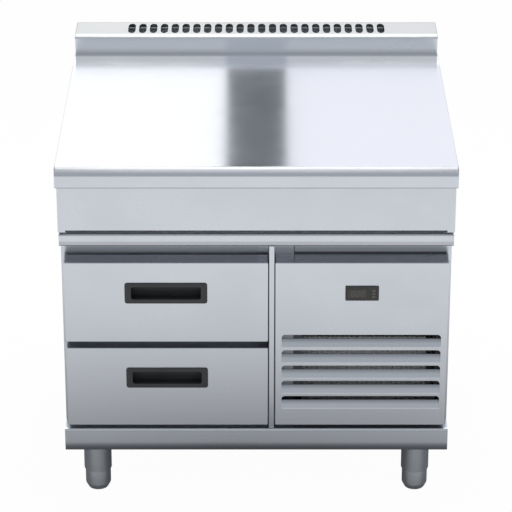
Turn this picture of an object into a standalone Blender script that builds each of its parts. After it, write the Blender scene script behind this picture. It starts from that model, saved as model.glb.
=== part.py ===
# Refrigerated base: a steel worktop on a cabinet with two chilled drawers and a machine bay.
# Metres, +Z up. The origin is on the floor at the middle of the plan, and the front faces -Y.

import math

import bmesh
import bpy
from mathutils import Matrix, Vector

# Overall size
width = 0.900
depth = 0.880
worktop_height = 0.880
splash_rise = 0.044
leg_height = 0.135

# Sheet metal, and the gap that touching pieces keep
top_sheet = 0.0015
skin = 0.0012
seat = 0.0003
overrun = 0.010
bite = 0.0006
weld = 0.0001

# Planes behind the worktop's front lip
apron_setback = 0.057
front_setback = 0.075
body_setback = 0.130
back_inset = 0.012
body_inset = 0.0005

# Heights of the fronts, from the worktop down
top_module_height = 0.173
module_gap = 0.015
top_nose_height = 0.031
recess_height = 0.041
drawer_gap = 0.0155
sill_gap = 0.0095
base_nose_height = 0.0585

# Worktop
lip_drop = 0.046
bullnose = 0.018
lip_corner = 0.003
hem = 0.016

# Splashback and its slots
splash_depth = 0.109
splash_round = 0.008
slot_count = 24
slot_pitch = 0.027
slot_width = 0.0184
slot_length = 0.071
slot_corner = 0.0085
slot_corner_stretch = 2.2
slot_front_margin = 0.024
slot_lip_width = 0.008
slot_lip_drop = 0.0035
slot_lip_web = 0.030
slot_lip_back_share = 0.145

# Apron and the side skirts behind it
apron_return = 0.025
apron_tab_width = 0.017
apron_tab_drop = 0.0035
skirt_flange = 0.017

# Noses of the cabinet's top and base: below the knee the face curves back by the lean, in degrees
top_nose_round = 0.006
top_nose_knee = 0.0165
top_nose_curve = 0.030
top_nose_lean = 6
base_nose_round = 0.005
base_nose_knee = 0.0348
base_nose_curve = 0.070
base_nose_lean = 16
nose_fold = 0.0035

# Mullion between the bays
mullion_from_left = 0.4848
mullion_width = 0.0134
mullion_inset = 0.001
mullion_reveal = 0.0014
mullion_flange = 0.026
bay_flange = 0.046
bay_return = 0.020

# Side panels and back panel
side_reveal = 0.0075
front_edge_flange = 0.012
rear_edge_flange = 0.020
vent_count = 9
vent_pitch_share = 0.0588
vent_width = 0.010
vent_height = 0.150
vent_sill = 0.190

# Chilled chamber
liner_sheet = 0.001
chamber_wall = 0.0525
chamber_width = 0.384
chamber_back_wall = 0.068
partition_wall = 0.053
seal_margin = 0.016
cross_bar_overlap = 0.014
cross_bar_return = 0.035

# Machine bay frame
bay_frame_side = 0.018
bay_frame_sill = 0.030
bay_frame_head = 0.034

# Drawer front, gasket and core
drawer_thickness = 0.046
fold = 0.003
front_corner = 0.003
gasket_inset = 0.004
gasket_width = 0.0115
gasket_lip = 0.0030
core_gap = 0.0006

# Recessed handle
handle_width = 0.190
handle_height = 0.051
handle_drop = 0.0505
handle_flange = 0.003
handle_corner = 0.006
handle_cup_inset = 0.004
handle_cup_depth = 0.030
handle_wall = 0.0025
handle_mouth_width = 0.160
handle_mouth_height = 0.030
handle_mouth_corner = 0.005
handle_lip = 0.003

# Telescopic slides
slide_height = 0.045
slide_sheet = 0.0012
slide_clearance = 0.0006
slide_end_gap = 0.0248
slide_start = 0.010
outer_rail_depth = 0.0105
middle_rail_depth = 0.0085
middle_rail_inset = 0.005
slide_space = 0.0130

# Pan frame of a drawer
frame_height = 0.050
frame_end_gap = 0.0385
frame_top_gap = 0.016
frame_ledge = 0.012
runner_front_gap = 0.022

# Service panel, its louvres and its controller
louvre_count = 5
louvre_pitch_share = 0.095
louvre_height_share = 0.0767
louvre_slot_share = 0.0336
louvre_margin = 0.01525
louvre_press = 0.009
louvre_corner = 0.008
louvre_drop_share = 0.4365
bezel_width = 0.077
bezel_height = 0.0355
bezel_proud = 0.004
bezel_corner = 0.002
case_inset = 0.003
case_depth = 0.055
window_width = 0.045
window_height = 0.023
window_shift = -0.0105
window_depth = 0.0016
key_count = 3
key_width = 0.0085
key_height = 0.0058
key_pitch = 0.0078
key_shift = 0.0265
key_depth = 0.0022
key_proud = 0.0006
key_travel = 0.0006
key_corner = 0.001

# Legs and levelling feet
leg_inset = 0.071
leg_front = 0.154
leg_back = 0.180
leg_radius = 0.0327
leg_wall = 0.002
leg_flange_radius = 0.045
leg_flange = 0.004
foot_height = 0.051
foot_radius = 0.030
foot_chamfer = 0.007
foot_chamfer_height = 0.013
stem_radius = 0.010
stem_clearance = 0.0005
stem_gap = 0.010
nut_height = 0.016

# Evaporator, its cover and its fan
cover_gap = 0.012
coil_width = 0.340
coil_depth = 0.062
coil_height_share = 0.3636
coil_top_gap = 0.012
coil_side_gap = 0.018
coil_fins = 26
coil_spine = 0.003
chill_fan_share = 0.1455
chill_fan_rise_share = 0.2468
chill_fan_length = 0.020
chill_hub_share = 0.30
chill_motor_share = 0.57
chill_boss_share = 0.32
chill_boss_length = 0.018
chill_hole_clearance = 0.005
chill_fan_gap = 0.004
cover_vent_count = 7
cover_vent_pitch = 0.046
cover_vent_width = 0.030
cover_vent_height = 0.012

# Condensing unit in the machine bay
sled_margin_left = 0.030
sled_margin_right = 0.020
sled_front = 0.018
sled_back = 0.035
sled_wall = 0.012
condenser_side_gap = 0.0292
condenser_depth = 0.050
condenser_height = 0.250
condenser_front = 0.020
condenser_fins = 26
condenser_spine = 0.003
fin_share = 0.60
shroud_depth = 0.030
air_fan_share = 0.35
air_fan_length = 0.024
air_hub_share = 0.23
air_fan_gap = 0.005
air_hole_clearance = 0.008
air_motor_share = 0.36
air_motor_length = 0.060
air_stand_share = 0.38
air_stand_depth = 0.036
blade_count = 5
blade_sheet = 0.0018
blade_root_share = 0.70
blade_tip_share = 0.42
blade_sweep = math.radians(30)
blade_chord = math.radians(44)
compressor_share = 0.237
compressor_height = 0.200
compressor_gap = 0.090
compressor_dome_share = 0.53
compressor_foot = 0.004
compressor_foot_width_share = 0.53
compressor_foot_depth_share = 0.42
compressor_seam_height = 0.010
pipe_radius = 0.006
pipe_bend = 0.030
pipe_clearance = 0.001
pipe_rise = 0.100
suction_left = 0.050
discharge_right = 0.024
switch_box_width = 0.100
switch_box_depth = 0.150
switch_box_height = 0.140
switch_box_back = 0.120
switch_box_rise = 0.260
switch_box_corner = 0.006

# Cord gland in the back panel
gland_inset = 0.0995
gland_rise = 0.125
gland_neck_radius = 0.010
gland_flange_radius = 0.016
gland_bore_radius = 0.005
gland_flange = 0.008
gland_nut = 0.006

# Facets of round pieces
arc_steps = 6
corner_steps = 4
round_steps = 32
small_steps = 16

# Planes and levels worked out from the sizes above
half = width / 2
body_half = half - body_inset
lip_y = -depth / 2
back_y = depth / 2
apron_y = lip_y + apron_setback
front_y = lip_y + front_setback
body_y = lip_y + body_setback
carcass_back_y = back_y - back_inset
splash_y = back_y - splash_depth
splash_top = worktop_height + splash_rise
lip_z = worktop_height - lip_drop
apron_z = worktop_height - top_module_height
carcass_top = apron_z - module_gap
top_nose_z = carcass_top - top_nose_height
fronts_top = top_nose_z - recess_height
sill_z = leg_height + base_nose_height
fronts_bottom = sill_z + sill_gap
drawer_height = (fronts_top - fronts_bottom - drawer_gap) / 2
floor_z = leg_height + top_sheet + seat
roof_z = carcass_top - top_sheet - seat
mullion_x = -body_half + mullion_from_left
mullion_left = mullion_x - mullion_width / 2
mullion_right = mullion_x + mullion_width / 2
fronts_left = -body_half + side_reveal
drawer_right = mullion_left - mullion_reveal
panel_left = mullion_right + mullion_reveal
panel_right = body_half - side_reveal
chamber_left = -body_half + chamber_wall
chamber_right = chamber_left + chamber_width
chamber_back = carcass_back_y - chamber_back_wall
chamber_floor = fronts_bottom + seal_margin
chamber_roof = fronts_top - seal_margin
bay_left = chamber_right + partition_wall
bay_right = body_half - skin
drawer_middle = (fronts_left + drawer_right) / 2
panel_middle = (panel_left + panel_right) / 2
chamber_middle = (chamber_left + chamber_right) / 2
lower_top = fronts_bottom + drawer_height
upper_bottom = lower_top + drawer_gap
bar_low = lower_top - cross_bar_overlap
bar_high = upper_bottom + cross_bar_overlap
core_back = front_y + drawer_thickness
panel_height = fronts_top - fronts_bottom
chamber_height = chamber_roof - chamber_floor
coil_height = chamber_height * coil_height_share
chill_fan_radius = chamber_height * chill_fan_share
cover_y = chamber_back - coil_depth - cover_gap
slide_length = cover_y - skin - slide_end_gap - body_y - slide_start
frame_length = cover_y - skin - frame_end_gap - core_back - seat
sled_left = bay_left + sled_margin_left
sled_right = bay_right - sled_margin_right
sled_width = sled_right - sled_left
condenser_width = sled_width - 2 * condenser_side_gap
air_fan_radius = condenser_width * air_fan_share
air_motor_radius = air_fan_radius * air_motor_share
compressor_radius = sled_width * compressor_share
gland_x = body_half - gland_inset
gland_z = leg_height + gland_rise

finishes = {
    "steel": ((0.60, 0.61, 0.63), 0.30, 1.0),
    "galvanised": ((0.48, 0.50, 0.52), 0.50, 0.9),
    "black_plastic": ((0.022, 0.022, 0.025), 0.45, 0.0),
    "grey_plastic": ((0.12, 0.12, 0.125), 0.40, 0.0),
    "window": ((0.065, 0.063, 0.055), 0.15, 0.0),
    "rubber": ((0.10, 0.10, 0.105), 0.70, 0.0),
    "foam": ((0.70, 0.62, 0.42), 0.90, 0.0),
    "copper": ((0.72, 0.38, 0.24), 0.35, 1.0),
    "aluminium": ((0.70, 0.71, 0.72), 0.40, 1.0),
    "black_paint": ((0.018, 0.018, 0.020), 0.35, 0.2),
    "foot_steel": ((0.52, 0.53, 0.55), 0.35, 1.0),
    "panel_core": ((0.55, 0.56, 0.58), 0.45, 0.6),
}


def material(finish):
    """Return the Principled material of one finish, made once."""
    found = bpy.data.materials.get(finish)
    if found:
        return found
    colour, roughness, metallic = finishes[finish]
    made = bpy.data.materials.new(finish)
    made.use_nodes = True
    shader = made.node_tree.nodes["Principled BSDF"]
    shader.inputs["Base Color"].default_value = (*colour, 1.0)
    shader.inputs["Roughness"].default_value = roughness
    shader.inputs["Metallic"].default_value = metallic
    return made


def solid(shape, name="tool"):
    """Turn a bmesh into an object, with its faces pointing out."""
    bmesh.ops.recalc_face_normals(shape, faces=shape.faces)
    mesh = bpy.data.meshes.new(name)
    shape.to_mesh(mesh)
    shape.free()
    made = bpy.data.objects.new(name, mesh)
    bpy.context.scene.collection.objects.link(made)
    return made


def block(low, high):
    """A box between two corners."""
    shape = bmesh.new()
    bmesh.ops.create_cube(shape, size=1.0)
    size = Vector(high) - Vector(low)
    middle = (Vector(high) + Vector(low)) / 2
    placed = Matrix.Translation(middle) @ Matrix.Diagonal((*size, 1.0))
    bmesh.ops.transform(shape, matrix=placed, verts=shape.verts)
    return solid(shape)


def along(axis, first, second, reach):
    """Place a point of an outline, drawn square to the axis, at a distance along it."""
    return {"x": (reach, first, second), "y": (first, reach, second), "z": (first, second, reach)}[axis]


def prism(outline, axis, start, end):
    """Extrude a closed outline along an axis."""
    return stack([(outline, start), (outline, end)], axis)


def stack(rings, axis):
    """Join outlines of equal point counts, each at its own distance along the axis."""
    shape = bmesh.new()
    loops = [[shape.verts.new(along(axis, a, b, reach)) for a, b in outline] for outline, reach in rings]
    count = len(loops[0])
    for near, far in zip(loops, loops[1:]):
        for index in range(count):
            after = (index + 1) % count
            shape.faces.new((near[index], near[after], far[after], far[index]))
    shape.faces.new(loops[0])
    shape.faces.new(loops[-1])
    return solid(shape)


def turned(profile, centre, axis="z", steps=round_steps):
    """Turn a closed profile of (radius, height) points about an axis through the centre."""
    shape = bmesh.new()
    rings = []
    for radius, height in profile:
        if radius == 0:
            rings.append([shape.verts.new(along(axis, 0, 0, height))] * steps)
            continue
        ring = []
        for step in range(steps):
            angle = 2 * math.pi * step / steps
            spot = along(axis, radius * math.cos(angle), radius * math.sin(angle), height)
            ring.append(shape.verts.new(spot))
        rings.append(ring)
    for near, far in zip(rings, rings[1:] + rings[:1]):
        for step in range(steps):
            after = (step + 1) % steps
            corners = (near[step], near[after], far[after], far[step])
            distinct = list(dict.fromkeys(corners))
            if len(distinct) > 2:
                shape.faces.new(distinct)
    bmesh.ops.translate(shape, vec=Vector(centre), verts=shape.verts)
    made = solid(shape)
    made.data.shade_smooth()
    made.data.set_sharp_from_angle(angle=math.radians(35))
    return made


def arc(centre, radius, start, end, steps=arc_steps):
    """Points on an arc, angles in degrees."""
    points = []
    for step in range(steps + 1):
        angle = math.radians(start + (end - start) * step / steps)
        points.append((centre[0] + radius * math.cos(angle), centre[1] + radius * math.sin(angle)))
    return points


def rounded(left, right, low, high, radius, steps=corner_steps):
    """A rectangle with round corners."""
    return (
        arc((right - radius, high - radius), radius, 0, 90, steps)
        + arc((left + radius, high - radius), radius, 90, 180, steps)
        + arc((left + radius, low + radius), radius, 180, 270, steps)
        + arc((right - radius, low + radius), radius, 270, 360, steps)
    )


def nose(front, back, low, high, top_radius, bottom_radius):
    """The section of a bar with a round front: (y, z) points from the back of the top."""
    return (
        [(back, high)]
        + arc((front + top_radius, high - top_radius), top_radius, 90, 180)
        + arc((front + bottom_radius, low + bottom_radius), bottom_radius, 180, 270)
        + [(back, low)]
    )


def folded(path, sheet):
    """The outline of a sheet that follows an open path, with its thickness on the path's left."""
    inner = []
    for index, point in enumerate(path):
        before = Vector(point) - Vector(path[index - 1]) if index else None
        after = Vector(path[index + 1]) - Vector(point) if index + 1 < len(path) else None
        normals = [Vector((-way.y, way.x)).normalized() for way in (before, after) if way]
        mean = sum(normals, Vector((0, 0))) / len(normals)
        inner.append(tuple(Vector(point) + mean * sheet / mean.length_squared))
    return list(path) + inner[::-1]


def mirrored(outline):
    """An outline with its first coordinate turned over."""
    return [(-a, b) for a, b in outline]


def combine(target, tools, operation):
    """Cut tools from a solid, or join them to it, and remove the tools."""
    for tool in tools:
        change = target.modifiers.new("change", "BOOLEAN")
        change.operation = operation
        change.solver = "EXACT"
        change.object = tool
    state = bpy.context.evaluated_depsgraph_get()
    result = bpy.data.meshes.new_from_object(target.evaluated_get(state))
    target.modifiers.clear()
    target.data = result
    for tool in tools:
        bpy.data.objects.remove(tool, do_unlink=True)
    return target


def cut(target, *tools):
    return combine(target, tools, "DIFFERENCE")


def join(target, *tools):
    return combine(target, tools, "UNION")


def piece(made, name, finish, origin=(0, 0, 0)):
    """Name a finished solid, give it its finish, and put its origin where it turns or slides."""
    made.name = name
    made.data.name = name
    made.data.transform(Matrix.Translation(-Vector(origin)))
    made.location = origin
    made.data.materials.clear()
    made.data.materials.append(material(finish))
    return made


def folded_front(left, right, low, high, front, back):
    """The outer body of a folded front panel: round corners, and a round edge where it folds."""
    rings = []
    for step in range(corner_steps + 1):
        angle = math.radians(90 * step / corner_steps)
        inset = fold * (1 - math.sin(angle))
        reach = front + fold * (1 - math.cos(angle))
        corner = front_corner + fold - inset
        rings.append((rounded(left + inset, right - inset, low + inset, high - inset, corner), reach))
    rings.append((rings[-1][0], back))
    return stack(rings, "y")


def inner_front(left, right, low, high, front, back, inset):
    """The space inside a folded front panel, open at the back."""
    outline = rounded(left + inset, right - inset, low + inset, high - inset, front_corner + fold - inset)
    return prism(outline, "y", front, back)


def build_worktop():
    back = splash_y - seat
    outer = prism(nose(lip_y, back, lip_z, worktop_height, bullnose, lip_corner), "x", -half, half)
    inside = nose(
        lip_y + top_sheet, back - top_sheet, lip_z + top_sheet, worktop_height - top_sheet,
        bullnose - top_sheet, lip_corner - top_sheet,
    )
    hollow = prism(inside, "x", -half + top_sheet, half - top_sheet)
    mouth = block(
        (-half + hem, lip_y + hem, lip_z - overrun),
        (half - hem, back - hem, lip_z + top_sheet + bite),
    )
    piece(cut(outer, hollow, mouth), "worktop", "steel")


def build_splashback():
    outer = prism(nose(splash_y, back_y, lip_z, splash_top, splash_round, top_sheet), "x", -half, half)
    inside = nose(
        splash_y + top_sheet, back_y - top_sheet, lip_z - overrun, splash_top - top_sheet,
        splash_round - top_sheet, top_sheet / 2,
    )
    cut(outer, prism(inside, "x", -half + top_sheet, half - top_sheet))
    rear = block((-body_half, back_y - top_sheet, carcass_top + seat), (body_half, back_y, lip_z + overrun))
    slot_front = splash_y + slot_front_margin
    slot_back = slot_front + slot_length
    lip_back = slot_back - slot_length * slot_lip_back_share
    lip_front = lip_back - slot_lip_width
    lip_top = splash_top - top_sheet - slot_lip_drop
    end = half - top_sheet + bite
    ledge = block((-end, lip_front, lip_top - top_sheet), (end, lip_back, lip_top))
    web = block(
        (-end, lip_back - top_sheet, lip_top - slot_lip_web),
        (end, lip_back, lip_top - top_sheet + bite),
    )
    join(outer, rear, ledge, web)
    slots = []
    for index in range(slot_count):
        middle = (index - (slot_count - 1) / 2) * slot_pitch
        squat = rounded(
            middle - slot_width / 2, middle + slot_width / 2,
            slot_front / slot_corner_stretch, slot_back / slot_corner_stretch, slot_corner,
        )
        outline = [(across, along_slot * slot_corner_stretch) for across, along_slot in squat]
        slots.append(prism(outline, "z", splash_top - top_sheet - bite, splash_top + overrun))
    piece(cut(outer, *slots), "splashback", "steel")


def build_apron():
    top = lip_z - seat
    path = [
        (apron_y + apron_return, top), (apron_y, top), (apron_y, apron_z), (apron_y + apron_return, apron_z),
    ]
    face = prism(folded(path, top_sheet), "x", -body_half, body_half)
    ends = []
    inner = top_sheet / 2
    for left in (-body_half, body_half - top_sheet):
        low = (left, apron_y + inner, apron_z + inner)
        ends.append(block(low, (left + top_sheet, apron_y + apron_return, top - inner)))
    for left in (-body_half, body_half - apron_tab_width):
        low = (left, apron_y, apron_z - apron_tab_drop)
        high = (left + apron_tab_width, apron_y + top_sheet, apron_z + top_sheet / 2)
        ends.append(block(low, high))
    piece(join(face, *ends), "apron", "steel")


def build_skirts():
    top = lip_z - seat
    low = carcass_top + seat
    outline = folded(
        [
            (-body_half + skirt_flange, top), (-body_half, top),
            (-body_half, low), (-body_half + skirt_flange, low),
        ],
        top_sheet,
    )
    front = apron_y + apron_return + seat
    back = back_y - top_sheet - seat
    piece(prism(outline, "y", front, back), "skirt_left", "steel")
    piece(prism(mirrored(outline), "y", front, back), "skirt_right", "steel")


def leaning_nose(back, low, high, top_radius, knee, curve, lean):
    """The section of a front rail: a face with a round top that curves back below its knee to a tight fold."""
    turn = math.radians(lean)
    bend_y = front_y + curve * (1 - math.cos(turn))
    bend_z = high - knee - curve * math.sin(turn)
    drop = bend_z - low - nose_fold * (1 - math.sin(turn))
    fold_y = bend_y + drop * math.tan(turn) + nose_fold * math.cos(turn)
    return (
        [(back, high)]
        + arc((front_y + top_radius, high - top_radius), top_radius, 90, 180)
        + arc((front_y + curve, high - knee), curve, 180, 180 + lean)
        + arc((fold_y, low + nose_fold), nose_fold, 180 + lean, 270)
        + [(back, low)]
    )


def closed_nose(path, section, name):
    """A folded sheet along X whose round front has an end plate on each side."""
    sheet = prism(folded(path, top_sheet), "x", -body_half, body_half)
    ends = [
        prism(section, "x", -body_half, -body_half + top_sheet),
        prism(section, "x", body_half - top_sheet, body_half),
    ]
    piece(join(sheet, *ends), name, "steel")


def build_carcass_top():
    back = body_y - seat
    section = leaning_nose(
        back, top_nose_z, carcass_top, top_nose_round, top_nose_knee, top_nose_curve, top_nose_lean,
    )
    path = [(carcass_back_y, carcass_top)] + section[1:]
    closed_nose(path, section, "carcass_top")


def build_base_tray():
    back = body_y - seat
    section = leaning_nose(
        back, leg_height, sill_z, base_nose_round, base_nose_knee, base_nose_curve, base_nose_lean,
    )
    path = section[:-1] + [(carcass_back_y, leg_height)]
    closed_nose(path, section, "base_tray")


def build_mullion():
    nose_y = front_y + mullion_inset
    right = mullion_right + bay_flange
    path = [
        (mullion_left - mullion_flange, body_y), (mullion_left, body_y),
        (mullion_left, nose_y), (mullion_right, nose_y), (mullion_right, body_y),
        (right, body_y), (right, body_y + bay_return),
    ]
    piece(prism(folded(path, skin), "z", sill_z + seat, top_nose_z - seat), "mullion", "steel")


def build_sides():
    outline = folded(
        [
            (-body_half + rear_edge_flange, carcass_back_y), (-body_half, carcass_back_y),
            (-body_half, body_y), (-body_half + front_edge_flange, body_y),
        ],
        skin,
    )
    piece(prism(outline, "z", floor_z, roof_z), "side_left", "steel")
    piece(prism(mirrored(outline), "z", floor_z, roof_z), "side_right", "steel")


def build_back_panel():
    front = carcass_back_y + seat
    panel = block((-body_half, front, floor_z), (body_half, front + skin, roof_z))
    middle = (bay_left + bay_right) / 2
    tools = []
    for index in range(vent_count):
        centre = middle + (index - (vent_count - 1) / 2) * vent_pitch_share * (bay_right - bay_left)
        low = leg_height + vent_sill
        outline = rounded(
            centre - vent_width / 2, centre + vent_width / 2, low, low + vent_height, vent_width / 2 - bite,
        )
        tools.append(prism(outline, "y", front - overrun, front + overrun))
    neck = gland_neck_radius + seat
    tools.append(turned([(0, -overrun), (neck, -overrun), (neck, overrun), (0, overrun)],
                        (gland_x, front, gland_z), "y", small_steps))
    piece(cut(panel, *tools), "back_panel", "steel")


def pipe_hole():
    """The bore through the chamber's wall that the suction pipe runs in."""
    radius = pipe_radius + pipe_clearance
    far = partition_wall + overrun
    profile = [(0, -overrun), (radius, -overrun), (radius, far), (0, far)]
    return turned(profile, (chamber_right, pipe_y, pipe_z), "x", small_steps)


def build_liner():
    left = -body_half + front_edge_flange + seat
    right = mullion_left - mullion_flange - seat
    flange = block((left, body_y, floor_z), (right, body_y + skin, roof_z))
    tub = block(
        (chamber_left - liner_sheet, body_y + skin / 2, chamber_floor - liner_sheet),
        (chamber_right + liner_sheet, chamber_back + liner_sheet, chamber_roof + liner_sheet),
    )
    inside = block(
        (chamber_left, body_y - overrun, chamber_floor), (chamber_right, chamber_back, chamber_roof),
    )
    piece(cut(join(flange, tub), inside, pipe_hole()), "chamber_liner", "steel")


def build_insulation():
    front = body_y + skin + seat
    foam = block(
        (-body_half + skin + seat, front, floor_z), (bay_left, carcass_back_y - skin - seat, roof_z),
    )
    margin = liner_sheet + seat
    room = block(
        (chamber_left - margin, front - overrun, chamber_floor - margin),
        (chamber_right + margin, chamber_back + margin, chamber_roof + margin),
    )
    piece(cut(foam, room, pipe_hole()), "insulation", "foam")


def build_cross_bar():
    path = [
        (body_y + cross_bar_return, bar_high), (body_y, bar_high),
        (body_y, bar_low), (body_y + cross_bar_return, bar_low),
    ]
    bar = prism(folded(path, skin), "x", chamber_left + seat, chamber_right - seat)
    piece(bar, "cross_bar", "steel")


def build_bay_frame():
    left = mullion_right + bay_flange + seat
    right = body_half - front_edge_flange - seat
    plate = block((left, body_y, floor_z), (right, body_y + skin, roof_z))
    opening = block(
        (left + bay_frame_side, body_y - overrun, fronts_bottom + bay_frame_sill),
        (right - bay_frame_side, body_y + overrun, fronts_top - bay_frame_head),
    )
    piece(cut(plate, opening), "bay_frame", "steel")


def build_service_panel():
    panel = folded_front(panel_left, panel_right, fronts_bottom, fronts_top, front_y, body_y - seat)
    cut(panel, inner_front(
        panel_left, panel_right, fronts_bottom, fronts_top, front_y + skin, body_y + overrun, skin,
    ))
    left = panel_left + louvre_margin
    right = panel_right - louvre_margin
    wedges = []
    openings = []
    for index in range(louvre_count):
        top = fronts_top - panel_height * (louvre_drop_share + index * louvre_pitch_share)
        wedges.append(louvre_wedge(left, right, top))
        openings.append(louvre_opening(left, right, top))
    join(panel, *wedges)
    case_half = bezel_width / 2 - case_inset + seat
    case_rise = bezel_height / 2 - case_inset + seat
    window = block(
        (panel_middle - case_half, front_y - overrun, controller_z - case_rise),
        (panel_middle + case_half, front_y + overrun, controller_z + case_rise),
    )
    piece(cut(panel, *openings, window), "service_panel", "steel")


def louvre_wedge(left, right, top):
    """The metal behind one louvre, from which its opening is cut."""
    low = top - panel_height * louvre_height_share
    crest = top - panel_height * louvre_slot_share
    near = front_y + skin / 2
    outline = [(near, low - skin), (near + louvre_press, crest), (near, crest)]
    return prism(outline, "x", left - skin, right + skin)


def louvre_opening(left, right, top):
    """The pressed space of one louvre, which slopes in from its foot and ends in a slot."""
    low = top - panel_height * louvre_height_share
    crest = top - panel_height * louvre_slot_share
    far = front_y + louvre_press - skin / 2
    slope = prism(
        [(front_y - overrun, low), (front_y, low), (far, crest), (far, top), (front_y - overrun, top)],
        "x", left - overrun, right + overrun,
    )
    hole = (
        arc((right - louvre_corner, top - louvre_corner), louvre_corner, 0, 90, corner_steps)
        + arc((left + louvre_corner, top - louvre_corner), louvre_corner, 90, 180, corner_steps)
        + [(left, low - bite), (right, low - bite)]
    )
    return combine(slope, [prism(hole, "y", front_y - 2 * overrun, far + overrun)], "INTERSECT")


def build_controller():
    front = front_y - bezel_proud
    left = panel_middle - bezel_width / 2
    right = panel_middle + bezel_width / 2
    bezel = prism(
        rounded(left, right, controller_z - bezel_height / 2, controller_z + bezel_height / 2, bezel_corner),
        "y", front, front_y - seat,
    )
    case = block(
        (left + case_inset, front_y - seat - bite, controller_z - bezel_height / 2 + case_inset),
        (right - case_inset, front_y + case_depth, controller_z + bezel_height / 2 - case_inset),
    )
    join(bezel, case)
    window_x = panel_middle + window_shift
    reach = window_width / 2
    rise = window_height / 2
    pocket = block(
        (window_x - reach, front - overrun, controller_z - rise),
        (window_x + reach, front + window_depth, controller_z + rise),
    )
    pane = block(
        (window_x - reach + seat, front, controller_z - rise + seat),
        (window_x + reach - seat, front + window_depth - seat, controller_z + rise - seat),
    )
    key_x = panel_middle + key_shift
    wells = []
    for index in range(key_count):
        middle = controller_z + ((key_count - 1) / 2 - index) * key_pitch
        outline = rounded(
            key_x - key_width / 2, key_x + key_width / 2,
            middle - key_height / 2, middle + key_height / 2, key_corner,
        )
        cap = prism(outline, "y", front - key_proud, front + key_depth)
        piece(cap, f"key_{index + 1}", "grey_plastic", (key_x, front, middle))
        well = rounded(
            key_x - key_width / 2 - seat, key_x + key_width / 2 + seat,
            middle - key_height / 2 - seat, middle + key_height / 2 + seat, key_corner + seat,
        )
        wells.append(prism(well, "y", front - overrun, front + key_depth + key_travel + seat))
    piece(cut(bezel, pocket, *wells), "controller_case", "black_plastic")
    piece(pane, "controller_window", "window")


def build_legs():
    for row, y in (("front", lip_y + leg_front), ("back", back_y - leg_back)):
        for side, x in (("left", leg_inset - half), ("right", half - leg_inset)):
            top = leg_height - seat
            plate = top - leg_flange
            bore = stem_radius + stem_clearance
            low = foot_height + seat
            tube = [
                (bore, low), (leg_radius, low), (leg_radius, plate), (leg_flange_radius, plate),
                (leg_flange_radius, top), (0, top), (0, plate), (leg_radius - leg_wall, plate),
                (leg_radius - leg_wall, low + nut_height), (bore, low + nut_height),
            ]
            piece(turned(tube, (x, y, 0)), f"leg_{row}_{side}", "steel")
            foot = [
                (0, 0), (foot_radius - foot_chamfer, 0), (foot_radius, foot_chamfer_height),
                (foot_radius, foot_height), (stem_radius, foot_height), (stem_radius, plate - stem_gap),
                (0, plate - stem_gap),
            ]
            piece(turned(foot, (x, y, 0)), f"foot_{row}_{side}", "foot_steel", (x, y, 0))


def slide_section(side, level, start, reach, height):
    """A slide member's section, open towards the middle of the chamber."""
    wall = chamber_left + start
    outline = folded(
        [
            (wall + reach, level + height / 2), (wall, level + height / 2),
            (wall, level - height / 2), (wall + reach, level - height / 2),
        ],
        slide_sheet,
    )
    if side == "left":
        return outline
    return [(2 * chamber_middle - a, b) for a, b in outline]


def build_slides(drawer, level):
    middle_start = seat + slide_sheet + slide_clearance
    middle_height = slide_height - 2 * (slide_sheet + slide_clearance)
    front = body_y + slide_start
    for side in ("left", "right"):
        rail = slide_section(side, level, seat, outer_rail_depth, slide_height)
        outer = prism(rail, "y", front, front + slide_length)
        piece(outer, f"{drawer}_rail_{side}", "galvanised")
        member = slide_section(side, level, middle_start, middle_rail_depth, middle_height)
        near = front + middle_rail_inset
        inner = prism(member, "y", near, front + slide_length - middle_rail_inset)
        x = chamber_left if side == "left" else chamber_right
        piece(inner, f"{drawer}_slide_{side}", "galvanised", (x, near, level))


def build_drawer(drawer, bottom, opening_top):
    top = bottom + drawer_height
    handle_z = top - handle_drop - handle_height / 2
    pull = (drawer_middle, front_y, bottom)
    shell = folded_front(fronts_left, drawer_right, bottom, top, front_y, core_back)
    inside = inner_front(fronts_left, drawer_right, bottom, top, front_y + skin, core_back + overrun, skin)
    cup_half = handle_width / 2 - handle_cup_inset
    cup_rise = handle_height / 2 - handle_cup_inset

    def cup_shape(margin, start, end, grow=0):
        outline = rounded(
            drawer_middle - cup_half - margin, drawer_middle + cup_half + margin,
            handle_z - cup_rise - margin, handle_z + cup_rise + margin, handle_corner + grow,
        )
        return prism(outline, "y", start, end)

    cut(shell, inside, cup_shape(seat, front_y - overrun, front_y + overrun))
    piece(shell, f"{drawer}_front", "steel", pull)

    core = inner_front(
        fronts_left, drawer_right, bottom, top, front_y + skin + seat, core_back, skin + core_gap,
    )
    cut(core, cup_shape(core_gap, front_y - overrun, front_y + handle_cup_depth + core_gap))
    piece(core, f"{drawer}_core", "panel_core", pull)

    flange = rounded(
        drawer_middle - handle_width / 2, drawer_middle + handle_width / 2,
        handle_z - handle_height / 2, handle_z + handle_height / 2, handle_corner,
    )
    handle = prism(flange, "y", front_y - handle_flange, front_y - seat)
    join(handle, cup_shape(0, front_y - seat - bite, front_y + handle_cup_depth))
    mouth = rounded(
        drawer_middle - handle_mouth_width / 2, drawer_middle + handle_mouth_width / 2,
        handle_z - handle_mouth_height / 2, handle_z + handle_mouth_height / 2, handle_mouth_corner,
    )
    mouth_tool = prism(mouth, "y", front_y - handle_flange - overrun, front_y + handle_lip + bite)
    floor_y = front_y + handle_cup_depth - handle_wall
    pocket_tool = cup_shape(-handle_wall, front_y + handle_lip, floor_y, -handle_wall)
    cut(handle, mouth_tool, pocket_tool)
    piece(handle, f"{drawer}_handle", "black_plastic", pull)

    build_gasket(drawer, bottom, top, pull)
    build_pan_frame(drawer, opening_top, pull)


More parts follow.
